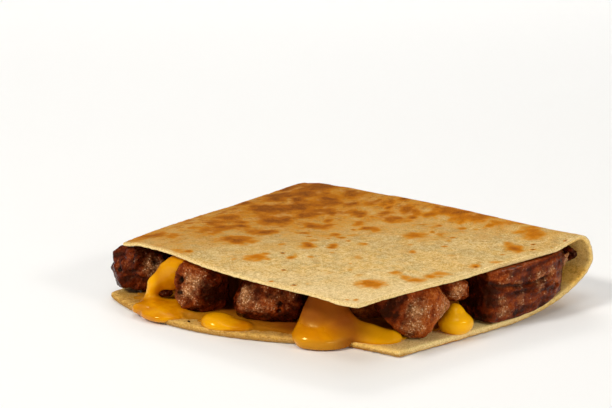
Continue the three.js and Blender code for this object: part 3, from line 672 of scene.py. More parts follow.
def face_cut(v, c, soft=0.0):
    """Points, relative to the chunk's centre, moved back to the knife's flats."""
    for heading, slope, d in c.get("faces", []):
        h, e = heading * D, slope * D
        n = np.array([math.cos(h) * math.cos(e), math.sin(h) * math.cos(e), math.sin(e)])
        over = v @ n - d
        over = np.where(over > 0, over, 0) if not soft else np.log1p(np.exp(np.minimum(over / soft, 30))) * soft
        v = v - 0.94 * over[..., None] * n
    return v


def chunk_distance(p, c):
    """A rough distance in mm from the points p to a chunk."""
    r = rot_zyx(c["yaw"] * D)
    rel = p - np.array(c["at"])
    q = rel @ r
    a = np.array(c["abc"])
    s = np.abs(q) / a
    k = (s ** c["e"]).sum(-1) ** (1 / c["e"])
    g = (k - 1) * np.linalg.norm(q, axis=-1) / np.maximum(k, 1e-6)
    for heading, slope, d in c.get("faces", []):
        h, e = heading * D, slope * D
        n = np.array([math.cos(h) * math.cos(e), math.sin(h) * math.cos(e), math.sin(e)])
        g = np.maximum(g, rel @ n - d - 0.3)
    return g


def polyline_distance(p, line):
    line = np.array(line, float)
    best = np.full(len(p), 1e9)
    for a, b in zip(line[:-1], line[1:]):
        ab = b - a
        t = clip(((p - a) @ ab) / (ab @ ab), 0, 1)
        best = np.minimum(best, np.linalg.norm(p - (a + t[:, None] * ab), axis=1))
    return best


def build_chunk(name, c):
    v, f = icosphere(c["level"])
    a, e, s = np.array(c["abc"]), c["e"], c["seed"]
    r = ((np.abs(v) / a) ** e).sum(1) ** (-1 / e)
    p = (v * r[:, None]) @ rot_zyx(c["yaw"] * D).T
    p = face_cut(p, c, 0.5)
    for x, y, z, rad, push in c.get("lobes", []):
        dd = np.linalg.norm(p + np.array(c["at"]) - np.array([x, y, z]), axis=1)
        p = p + np.exp(-((dd / rad) ** 2))[:, None] * np.array(push)
    k = c["rough"]
    off = np.array([31.0, 17.0, 5.0]) * s
    # lumps and soft hollows
    big = fbm(p + off, 10.0, 2, s)
    mid = fbm(p + off, 4.8, 3, s + 20)
    size, amount = c.get("nodules", (6.0, 0.35))
    f1, f2, _ = worley(p + off + 1.2 * fbm(p + off, 5, 2, s + 60)[:, None], size, s + 2)
    nod = smooth(f1 / 0.75)
    nn = normals_of(p, f)
    p = p + nn * (k * (0.65 * big + 0.45 * mid) - amount * nod - 0.25)[:, None]
    # muscle fibres run along one direction
    d = np.array(c["grain"], float)
    d /= np.linalg.norm(d)
    h = np.cross(d, [0.3, 0.2, 1.0])
    h /= np.linalg.norm(h)
    w = np.cross(d, h)
    warp = 1.3 * np.stack([fbm(p + off + 40 * i, 8, 2, s + 31 + i) for i in range(3)], 1)
    q = p + warp
    along = q @ d
    fq = np.stack([along * 0.13, q @ h, q @ w], 1)
    fib = perlin(fq / 1.9, s + 41)
    fib2 = perlin(fq / 0.95 + 9, s + 42)
    crack = perlin(np.stack([along * 0.2, q @ h, q @ w], 1) / 4.2, s + 43)
    groove = step(0.11, 0.0, np.abs(crack)) * step(-0.1, 0.5, fbm(p + off, 9, 2, s + 44))
    knob = fbm(p + off, 2.3, 3, s + 45)
    fine = fbm(p + off, 1.0, 3, s + 46)
    st = c.get("streak", 0.35)
    relief = (0.10 + 0.14 * st) * fib + (0.05 + 0.08 * st) * fib2 - 0.30 * groove * k + 0.19 * knob + 0.05 * fine
    hollow = 0.22 * groove * (0.4 + st)
    world_p = p + np.array(c["at"])
    for x, y, z, rad, deep in c.get("pits", []):
        dd = np.linalg.norm(world_p - np.array([x, y, z]), axis=1) * (1 + 0.25 * fine)
        b = np.exp(-((dd / rad) ** 2))
        relief = relief - deep * b + 0.25 * deep * np.exp(-(((dd - 1.7 * rad) / (0.7 * rad)) ** 2))
        hollow = np.maximum(hollow, min(1.0, 0.55 + 0.5 * deep) * step(1.45 * rad, 0.45 * rad, dd))
    for line, width, deep in c.get("folds", []):
        dd = polyline_distance(world_p + 0.5 * warp, line)
        relief = relief - deep * np.exp(-((dd / width) ** 2)) + 0.35 * deep * np.exp(-(((dd - 2.0 * width) / (1.1 * width)) ** 2))
        hollow = np.maximum(hollow, 0.85 * min(1.0, deep) * np.exp(-((dd / (0.8 * width)) ** 2)))
    p = p + normals_of(p, f) * relief[:, None]
    tone = c["tone"] + 0.20 * fbm(p + off, 6.5, 3, s + 51) + 0.10 * fbm(p + off, 2.2, 2, s + 52)
    fat = 0.25 * step(0.35, 1.0, fbm(p + off + 70, 7.0, 3, s + 53))
    # patches: fat and paler or darker flesh, and painted light and shade on lit and shaded faces
    for x, y, z, rad, dt, ft in c.get("patches", []):
        dd = np.linalg.norm(world_p - np.array([x, y, z]), axis=1) * (1 + 0.35 * fbm(p + off, 3.0, 2, s + 54))
        b = np.exp(-((dd / rad) ** 2))
        tone = tone + dt * b
        fat = np.maximum(fat, ft * b)
    p = p + np.array(c["at"])
    # pressed softly between the flaps
    lo, hi = room(p[:, 0], p[:, 1])
    lo, hi = lo + 0.25, hi - 0.25
    zc, half = (lo + hi) / 2, (hi - lo) / 2
    t = (p[:, 2] - zc) / half
    soft = np.sign(t) * (1 - np.maximum(0, np.log1p(np.exp((1 - np.abs(t)) * 14)) / 14))
    t2 = np.where(np.abs(t) > 0.6, np.sign(t) * np.minimum(np.abs(soft), 1.0), t)
    p[:, 2] = zc + clip(t2, -1.0, 1.0) * half
    # painted shade: darker in the dips between lumps and fibres, and near black in the pits and grooves, which are
    # partly char
    cavity_shade = clip(0.62 + 0.40 * knob + (0.16 + 0.14 * st) * fib + 0.12 * fine - 0.25 * (1 - nod) * 0 - hollow, 0, 1)
    return make_object(name + "_steak", p, f.tolist(),
                       {"cavity_shade": cavity_shade, "tone": clip(tone, 0, 1), "fib": clip(0.5 + (0.5 + 0.15 * (st > 0.9)) * fib, 0, 1), "calm": np.full(len(p), c.get("calm", 0.0)), "fat": clip(fat, 0, 1), "hollow": clip(hollow, 0, 1)})


# x, y, z, three half sizes, yaw, tone, fat
CRUMBS = [(-44.6, -48.3, 6.4, 2.5, 1.6, 1.6, 42, 0.16, 0.15), (-24.9, -56.1, 2.2, 0.5, 0.4, 0.3, 0, 0.0, 0.0)]
# lines of points and a half width: fibres torn from the block's end
FIBRES = [([(56.9, 46.4, 18.4), (57.0, 49.6, 18.9), (55.2, 52.6, 18.2), (53.2, 55.2, 18.4)], 0.46), ([(57.0, 46.6, 17.0), (56.8, 49.8, 17.7), (54.8, 53.0, 17.4)], 0.40),
          ([(57.0, 46.8, 15.6), (56.8, 49.6, 16.5), (55.4, 52.4, 16.6)], 0.36)]


def build_crumbs():
    verts, faces, tone, fat, n = [], [], [], [], 0
    v, f = icosphere(4)
    for k, (x, y, z, a, b, c, yaw, tn, ft) in enumerate(CRUMBS):
        lump = 1 + 0.30 * fbm(v + 11.0 * k, 1.1, 3, 300 + k)
        p = (v * np.array([a, b, c]) * lump[:, None]) @ rot_zyx(yaw * D).T + np.array([x, y, z])
        verts.append(p)
        faces += (f + n).tolist()
        n += len(p)
        tone.append(np.full(len(p), tn))
        fat.append(np.full(len(p), ft))
    for k, (line, w) in enumerate(FIBRES):
        line = np.array(line, float)
        seg = np.concatenate([[0], np.cumsum(np.linalg.norm(np.diff(line, axis=0), axis=1))])
        t = np.linspace(0, seg[-1], 22)
        c = np.stack([np.interp(t, seg, line[:, i]) for i in range(3)], 1)
        for _ in range(4):
            c[1:-1] = (c[:-2] + 2 * c[1:-1] + c[2:]) / 4
        c = c + 0.25 * np.stack([fbm(c + 60 * i, 2.0, 2, 320 + k) for i in range(3)], 1)
        d = np.gradient(c, axis=0)
        d /= np.linalg.norm(d, axis=1)[:, None]
        e1 = np.cross(d, [0.0, 0.0, 1.0])
        e1 /= np.linalg.norm(e1, axis=1)[:, None]
        e2 = np.cross(d, e1)
        m = 8
        ang = np.arange(m) * 2 * np.pi / m
        r = w * (1.15 - 0.5 * np.linspace(0, 1, 22)) * (1 + 0.30 * fbm(c, 1.2, 2, 330 + k))
        ring = c[:, None, :] + r[:, None, None] * (np.cos(ang)[None, :, None] * e1[:, None, :] + np.sin(ang)[None, :, None] * e2[:, None, :])
        verts.append(ring.reshape(-1, 3))
        for i in range(21):
            for j in range(m):
                j2 = (j + 1) % m
                faces.append([n + i * m + j, n + i * m + j2, n + (i + 1) * m + j2, n + (i + 1) * m + j])
        faces.append([n + j for j in range(m)][::-1])
        faces.append([n + 21 * m + j for j in range(m)])
        n += 22 * m
        tone.append(np.full(22 * m, 0.62))
        fat.append(np.full(22 * m, 0.75))
    n_all = sum(len(p) for p in verts)
    o = make_object("steak_crumbs", np.concatenate(verts), faces,
                    {"cavity_shade": np.full(n_all, 0.7), "tone": np.concatenate(tone), "fib": np.full(n_all, 0.5), "fat": np.concatenate(fat), "hollow": np.zeros(n_all), "calm": np.zeros(n_all)})
    bm = bmesh.new()
    bm.from_mesh(o.data)
    bmesh.ops.recalc_face_normals(bm, faces=bm.faces)
    bm.to_mesh(o.data)
    bm.free()
    return o


# ------------------------------------------------------------------ cheese
def ell(p, centre, radii, yaw=0.0, tx=0.0, ty=0.0):
    q = (p - np.array(centre)) @ rot_zyx(yaw * D, tx * D, ty * D)
    r = np.array(radii, float)
    k0 = np.linalg.norm(q / r, axis=-1)
    k1 = np.linalg.norm(q / (r * r), axis=-1)
    return k0 * (k0 - 1) / np.maximum(k1, 1e-6)


def cone(p, a, b, ra, rb):
    a, b = np.array(a, float), np.array(b, float)
    ab = b - a
    t = clip(((p - a) @ ab) / (ab @ ab), 0, 1)
    return np.linalg.norm(p - (a + t[..., None] * ab), axis=-1) - lerp(ra, rb, t)


def smin(a, b, k):
    h = np.maximum(k - np.abs(a - b), 0) / k
    return np.minimum(a, b) - h * h * k * 0.25


DROPS = [
    # the rope and the web between the two leftmost chunks
    ("cone", (-49.0, -50.6, 3.0), (-48.6, -50.6, 6.4), 3.4, 1.6),
    ("cone", (-48.6, -50.6, 6.4), (-47.4, -50.8, 10.0), 1.6, 1.7),
    ("cone", (-47.4, -50.8, 10.0), (-44.4, -48.6, 15.5), 1.7, 1.8),
    ("cone", (-46.4, -49.2, 9.4), (-41.4, -46.8, 16.6), 1.9, 3.1),
    ("cone", (-43.0, -46.8, 9.4), (-39.8, -46.2, 16.4), 2.0, 3.0),
    ("cone", (-39.8, -46.6, 16.8), (-34.4, -46.6, 18.4), 2.2, 2.0),
    # their pool, and the lobe that runs over the rim
    ("ell", (-42.6, -53.0, 2.6), (9.0, 6.0, 2.0), 38),
    ("ell", (-37.6, -50.8, 2.4), (8.0, 5.4, 1.5), 36),
    ("ell", (-44.6, -56.6, 2.4), (5.0, 2.6, 1.2), 36),
    ("ell", (-36.4, -58.0, 2.0), (7.0, 4.0, 1.9), 22),
    # the bead
    ("ell", (-11.2, -51.4, 2.8), (7.8, 4.2, 1.7), 30),
    ("ell", (-14.8, -52.2, 3.4), (4.6, 3.7, 2.1), 30),
    ("ell", (-17.4, -50.6, 3.0), (4.4, 3.6, 1.9), 40),
    # the wide curtain, its lobe over the rim and its tail
    ("cone", (18.3, -33.4, 18.8), (18.3, -34.8, 10.0), 5.0, 5.7),
    ("ell", (18.2, -34.6, 8.4), (7.6, 5.4, 6.6), 42),
    ("ell", (18.8, -36.2, 4.4), (8.6, 6.0, 4.1), 42),
    ("cone", (24.0, -32.0, 5.4), (32.0, -28.0, 3.5), 3.4, 2.7),
    ("cone", (32.0, -28.0, 3.5), (38.4, -25.0, 2.9), 2.7, 2.2),
    ("ell", (32.5, -29.0, 2.6), (9.0, 4.2, 1.6), 26),
    ("ell", (20.4, -40.6, 2.5), (8.2, 4.6, 2.2), 36),
    ("ell", (22.4, -41.6, 1.6), (5.6, 2.6, 1.5), 38),
    # the bright drop on the cut
    ("ell", (48.3, -3.0, 4.9), (5.6, 4.8, 3.2), 42),
    ("cone", (48.3, -3.0, 5.6), (47.8, -2.6, 8.2), 4.9, 2.9),
    # on the far cut
    ("ell", (-67.4, -1.6, 5.4), (5.2, 5.2, 5.0), 0),
    ("ell", (-67.4, 25.4, 5.4), (5.0, 6.2, 4.4), 0),
    ("cone", (-67.0, -27.6, 4.0), (-64.6, -27.6, 15.5), 2.4, 1.8),
    ("cone", (-67.0, 25.6, 5.0), (-63.6, 25.0, 18.5), 2.6, 2.0),
]


def drop_distance(p, kind, *q):
    return ell(p, *q) if kind == "ell" else cone(p, *q)


def build_cheese():
    lo_c, hi_c = np.array([-73.2, -62.6, -0.6]), np.array([62.0, 60.0, 24.0])
    h = np.array([0.6, 0.6, 0.5])
    n = np.ceil((hi_c - lo_c) / h).astype(int) + 1
    xs, ys, zs = (lo_c[k] + np.arange(n[k]) * h[k] for k in range(3))
    X, Y = np.meshgrid(xs, ys, indexing="ij")
    lo, hi = room(X, Y)
    u = u_at(X, Y)
    w = 1 - u
    P2 = np.stack([X, Y, np.zeros_like(X)], -1).reshape(-1, 3)
    n_a = fbm(P2, 8, 3, 201).reshape(X.shape)
    n_b = fbm(P2, 3.5, 2, 202).reshape(X.shape)
    P = np.empty(tuple(n) + (3,), np.float32)
    P[..., 0], P[..., 1] = X[:, :, None], Y[:, :, None]
    P[..., 2] = zs[None, None, :]
    Z = P[..., 2]

    # the melted middle
    front = rim_low(w) + 25 + 3 * np.sin(9 * u + 1) + 2.0 * n_a + 10 * np.exp(-(((X - 11) / 8) ** 2))
    side_p = cut_px(Y) - 12 + 2.5 * n_a - 9 * np.exp(-(((Y + 1) / 10) ** 2))
    side_n = cut_nx(Y) + 9 + 2.0 * n_a
    walls = np.maximum(np.maximum(front - Y, X - side_p), side_n - X)
    walls = np.maximum(walls, Y - (NOSE_Y - 3.4))
    zm, zh = (lo + hi) / 2, (hi - lo) / 2
    sag = 2.2 * (1 - clip(np.abs((Z - zm[:, :, None]) / zh[:, :, None]), 0, 1) ** 2)
    f = walls[:, :, None] + sag - 1.2
    # the thin spread on the lower flap
    d_rim, d_px, d_nx = Y - rim_low(w), cut_px(Y) - X, X - cut_nx(Y)
    ragged = 2.2 * n_a + 0.9 * n_b
    inner = np.minimum(np.minimum(d_rim - 5.4, d_px - 9.5), d_nx - 9.0) + ragged
    film = 0.42 * step(0.0, 4.0, inner) + 0.45 * step(4, 12, inner) + 0.16 * n_b
    film = np.where(inner > -0.8, film, -0.8)
    spread = Z - (lo + film)[:, :, None]
    spread = np.maximum(spread, np.maximum(Y - 30, -0.6 * (inner + 0.8))[:, :, None])
    f = smin(f, spread, 1.6)
    # strings, pools, lobes and drops, each worked out in its own box only
    for kind, *q in DROPS:
        if kind == "ell":
            c, r = np.array(q[0]), max(q[1])
            blo, bhi = c - r - 4, c + r + 4
        else:
            a, b, ra, rb = q
            r = max(ra, rb) + 4
            blo, bhi = np.minimum(a, b) - r, np.maximum(a, b) + r
        i0 = np.maximum(0, np.floor((blo - lo_c) / h).astype(int))
        i1 = np.minimum(n, np.ceil((bhi - lo_c) / h).astype(int) + 1)
        sl = tuple(slice(i0[k], i1[k]) for k in range(3))
        f[sl] = smin(f[sl], drop_distance(P[sl], kind, *q), 4.6 if 10 < np.mean(P[sl][..., 0]) < 30 else 2.8)
    # it clings to the meat
    for c in CHUNKS.values():
        cc, r = np.array(c["at"]), max(c["abc"]) + 5
        i0 = np.maximum(0, np.floor((cc - r - lo_c) / h).astype(int))
        i1 = np.minimum(n, np.ceil((cc + r - lo_c) / h).astype(int) + 1)
        sl = tuple(slice(i0[k], i1[k]) for k in range(3))
        g = chunk_distance(P[sl], c)
        f[sl] = f[sl] - 0.4 * np.exp(-np.maximum(g, 0) / 0.9)
        # and leaves the meat's own room free, all but a thin overlap
        f[sl] = np.maximum(f[sl], -(g + 1.5))
    # small unevenness of the surface
    f = f + 0.10 * n_b[:, :, None]
    # under the upper flap and over the lower one
    low_t = np.maximum((rim_low(w) + 0.25 - Y)[:, :, None], Z - (lo - 0.3)[:, :, None])
    low_t = np.maximum(low_t, (X - cut_px(Y) + 0.2)[:, :, None])
    low_t = np.maximum(low_t, (cut_nx(Y) + 0.2 - X)[:, :, None])
    top_t = np.maximum((rim_top(w) + 0.4 - Y)[:, :, None], (hi + 0.3)[:, :, None] - Z)
    f = np.maximum(f, -low_t)
    f = np.maximum(f, -top_t)
    f = np.maximum(f, 0.15 - Z)
    f = np.maximum(f, (-61.9 - Y)[:, :, None])
    f[0], f[-1], f[:, 0], f[:, -1], f[:, :, 0], f[:, :, -1] = 1, 1, 1, 1, 1, 1
    V, F = surface_nets(f, lo_c, h)
    V, F = largest_body(V, F)
    V = relax(V, F, 4)
    # where it is only a film, and how far it lies under the upper flap
    x, y, z = V[:, 0], V[:, 1], V[:, 2]
    near = np.full(len(V), 9.0)
    for kind, *q in DROPS:
        near = np.minimum(near, drop_distance(V, kind, *q))
    v_lo, _ = room(x, y)
    thin = step(0.1, 1.4, near) * step(2.4, 0.9, z - v_lo)
    uu = u_at(x, y, 1)
    under = np.minimum(np.minimum(y - rim_top(1 - uu), cut_px(y, 1) - x), x - cut_nx(y, 1))
    # painted shade: darker deep under the upper flap and on the upper part of the wide curtain, where the flap's shadow
    # falls
    deep = np.maximum(step(5.0, 15.0, under), 0.95 * step(4.6, 10.0, z) * step(0, 10, x) * step(44, 34, x))
    # painted light: brighter yellow where the cheese sits out in the light (the drop on the cut, the tail, the bead,
    # the curtain's foot), and a painted highlight streak down the rope's left side
    painted_light = np.maximum(step(10, 6, np.hypot(x - 48.5, y + 3.2)), 0.75 * step(14, 3, np.hypot(x - 38.0, y + 25.0)))
    painted_light = np.maximum(painted_light, 0.55 * step(8, 4, np.hypot(x + 13.6, y + 52.0)))
    painted_light = np.maximum(painted_light, 0.14 * step(8.5, 4.5, z) * step(8, 13, x) * step(34, 26, x))
    painted_light = np.maximum(painted_light, 0.8 * step(4.4, 0.8, np.abs((x + 51.5) * ACROSS[0] + (y + 50.0) * ACROSS[1] - 0.16 * (z - 6))) * step(4, 7, z) * step(15, 11, z))
    o = make_object("cheese_melted", V, F.tolist(), {"thin": thin, "deep": deep, "painted_light": painted_light})
    bm = bmesh.new()
    bm.from_mesh(o.data)
    if bm.calc_volume(signed=True) < 0:
        bmesh.ops.reverse_faces(bm, faces=bm.faces)
        bm.to_mesh(o.data)
    bm.free()
    return o


def surface_nets(f, origin, h):
    s = f < 0
    nx, ny, nz = f.shape
    count = np.zeros((nx - 1, ny - 1, nz - 1), np.uint8)
    for i in (0, 1):
        for j in (0, 1):
            for k in (0, 1):
                count += s[i : nx - 1 + i, j : ny - 1 + j, k : nz - 1 + k]
    active = (count > 0) & (count < 8)
    idx = -np.ones(active.shape, np.int64)
    cells = np.argwhere(active)
    idx[active] = np.arange(len(cells))
    acc, num = np.zeros((len(cells), 3)), np.zeros(len(cells))
    corners = [(i, j, k) for i in (0, 1) for j in (0, 1) for k in (0, 1)]
    for a in corners:
        for ax in range(3):
            if a[ax]:
                continue
            b = list(a)
            b[ax] = 1
            fa = f[cells[:, 0] + a[0], cells[:, 1] + a[1], cells[:, 2] + a[2]]
            fb = f[cells[:, 0] + b[0], cells[:, 1] + b[1], cells[:, 2] + b[2]]
            m = (fa < 0) != (fb < 0)
            t = np.where(m, fa / np.where(m, fa - fb, 1), 0)
            pt = np.array(a, float) + t[:, None] * (np.array(b) - np.array(a))
            acc[m] += pt[m]
            num[m] += 1
    V = origin + (cells + acc / num[:, None]) * h
    quads = []
    for ax in range(3):
        o1, o2 = [k for k in range(3) if k != ax]
        sl0, sl1 = [slice(None)] * 3, [slice(None)] * 3
        sl0[ax], sl1[ax] = slice(0, -1), slice(1, None)
        e0, e1 = s[tuple(sl0)], s[tuple(sl1)]
        change = np.argwhere(e0 != e1)
        ok = (change[:, o1] > 0) & (change[:, o2] > 0) & (change[:, o1] < f.shape[o1] - 1) & (change[:, o2] < f.shape[o2] - 1)
        change = change[ok]
        inside = e0[tuple(change.T)]
        c = []
        for d1, d2 in ((-1, -1), (0, -1), (0, 0), (-1, 0)):
            q = change.copy()
            q[:, o1] += d1
            q[:, o2] += d2
            c.append(idx[tuple(q.T)])
        c = np.stack(c, 1)
        flip = inside if ax != 1 else ~inside
        c = np.where(flip[:, None], c, c[:, ::-1])
        quads.append(c)
    return V, np.concatenate(quads)


def largest_body(V, F):
    n = len(V)
    label = np.arange(n)
    e = np.concatenate([F[:, [0, 1]], F[:, [1, 2]], F[:, [2, 3]], F[:, [3, 0]]])
    while True:
        lo = np.minimum(label[e[:, 0]], label[e[:, 1]])
        new = label.copy()
        np.minimum.at(new, e[:, 0], lo)
        np.minimum.at(new, e[:, 1], lo)
        new = new[new]
        if (new == label).all():
            break
        label = new
    names, counts = np.unique(label[F[:, 0]], return_counts=True)
    keep = names[counts > 400]
    main = names[np.argmax(counts)]
    mask = np.isin(label[F[:, 0]], [main])
    F = F[mask]
    used = np.unique(F)
    remap = -np.ones(n, np.int64)
    remap[used] = np.arange(len(used))
    return V[used], remap[F]


def relax(V, F, rounds):
    e = np.concatenate([F[:, [0, 1]], F[:, [1, 2]], F[:, [2, 3]], F[:, [3, 0]]])
    e = np.unique(np.sort(e, 1), axis=0)
    deg = np.bincount(e.reshape(-1), minlength=len(V)).astype(float)
    for r in range(rounds * 2):
        lam = 0.55 if r % 2 == 0 else -0.5
        s = np.zeros_like(V)
        for k in range(3):
            s[:, k] = np.bincount(e[:, 0], V[e[:, 1], k], len(V)) + np.bincount(e[:, 1], V[e[:, 0], k], len(V))
        V = V + lam * (s / deg[:, None] - V)
    return V


# ------------------------------------------------------------------ materials
class Nodes:
    def __init__(self, name):
        self.mat = bpy.data.materials.new(name)
        self.mat.use_nodes = True
        self.t = self.mat.node_tree
        self.t.nodes.clear()
        self.out = self.t.nodes.new("ShaderNodeOutputMaterial")
        self.bsdf = self.t.nodes.new("ShaderNodeBsdfPrincipled")
        self.t.links.new(self.bsdf.outputs[0], self.out.inputs[0])
        self.co = self.t.nodes.new("ShaderNodeTexCoord").outputs["Object"]

    def link(self, a, b):
        self.t.links.new(a, b)

    def put(self, socket, value):
        if hasattr(value, "is_linked") or hasattr(value, "links"):
            self.link(value, socket)
        else:
            socket.default_value = value

    def attr(self, name):
        n = self.t.nodes.new("ShaderNodeAttribute")
        n.attribute_name = name
        return n.outputs["Fac"]

    def math(self, op, a, b=0.0, c=None, clamp=False):
        n = self.t.nodes.new("ShaderNodeMath")
        n.operation = op
        n.use_clamp = clamp
        self.put(n.inputs[0], a)
        self.put(n.inputs[1], b)
        if c is not None:
            self.put(n.inputs[2], c)
        return n.outputs[0]

    def noise(self, size_mm, detail=3.0, rough=0.55, seed=0.0, stretch=None, distort=0.0, co=None):
        src = co or self.co
        if stretch or seed:
            m = self.t.nodes.new("ShaderNodeMapping")
            self.link(src, m.inputs["Vector"])
            m.inputs["Location"].default_value = (seed * 0.13, seed * 0.07, seed * 0.19)
            if stretch:
                m.inputs["Scale"].default_value = stretch
            src = m.outputs[0]
        n = self.t.nodes.new("ShaderNodeTexNoise")
        self.link(src, n.inputs["Vector"])
        n.inputs["Scale"].default_value = 1000.0 / size_mm
        n.inputs["Detail"].default_value = detail
        n.inputs["Roughness"].default_value = rough
        n.inputs["Distortion"].default_value = distort
        return n.outputs["Fac"]

    def voronoi(self, size_mm, feature="F1", rand=1.0):
        n = self.t.nodes.new("ShaderNodeTexVoronoi")
        n.feature = feature
        self.link(self.co, n.inputs["Vector"])
        n.inputs["Scale"].default_value = 1000.0 / size_mm
        n.inputs["Randomness"].default_value = rand
        return n.outputs["Distance"]

    def ramp(self, fac, stops, mode="LINEAR"):
        n = self.t.nodes.new("ShaderNodeValToRGB")
        n.color_ramp.interpolation = mode
        e = n.color_ramp.elements
        while len(e) < len(stops):
            e.new(0.5)
        for el, (pos, col) in zip(e, stops):
            el.position = pos
            el.color = (*col, 1) if len(col) == 3 else col
        self.link(fac, n.inputs[0])
        return n.outputs[0]

    def span(self, fac, a, b, to0=0.0, to1=1.0):
        n = self.t.nodes.new("ShaderNodeMapRange")
        n.clamp = True
        self.put(n.inputs["Value"], fac)
        n.inputs["From Min"].default_value = a
        n.inputs["From Max"].default_value = b
        n.inputs["To Min"].default_value = to0
        n.inputs["To Max"].default_value = to1
        return n.outputs[0]

    def mix(self, fac, a, b, mode="MIX"):
        n = self.t.nodes.new("ShaderNodeMix")
        n.data_type = "RGBA"
        n.blend_type = mode
        n.clamp_factor = True
        self.put(n.inputs["Factor"], fac)
        for s, v in ((n.inputs["A"], a), (n.inputs["B"], b)):
            pass
        ia = [s for s in n.inputs if s.name == "A" and s.type == "RGBA"][0]
        ib = [s for s in n.inputs if s.name == "B" and s.type == "RGBA"][0]
        for s, v in ((ia, a), (ib, b)):
            if isinstance(v, tuple):
                s.default_value = (*v, 1) if len(v) == 3 else v
            else:
                self.link(v, s)
        return [s for s in n.outputs if s.type == "RGBA"][0]

    def bump(self, height, strength, distance_mm, normal=None):
        n = self.t.nodes.new("ShaderNodeBump")
        n.inputs["Strength"].default_value = strength
        n.inputs["Distance"].default_value = distance_mm * 0.001
        self.link(height, n.inputs["Height"])
        if normal is not None:
            self.link(normal, n.inputs["Normal"])
        return n.outputs[0]


def srgb(r, g, b):
    return tuple(((c / 255 + 0.055) / 1.055) ** 2.4 if c > 10.3 else c / 255 / 12.92 for c in (r, g, b))


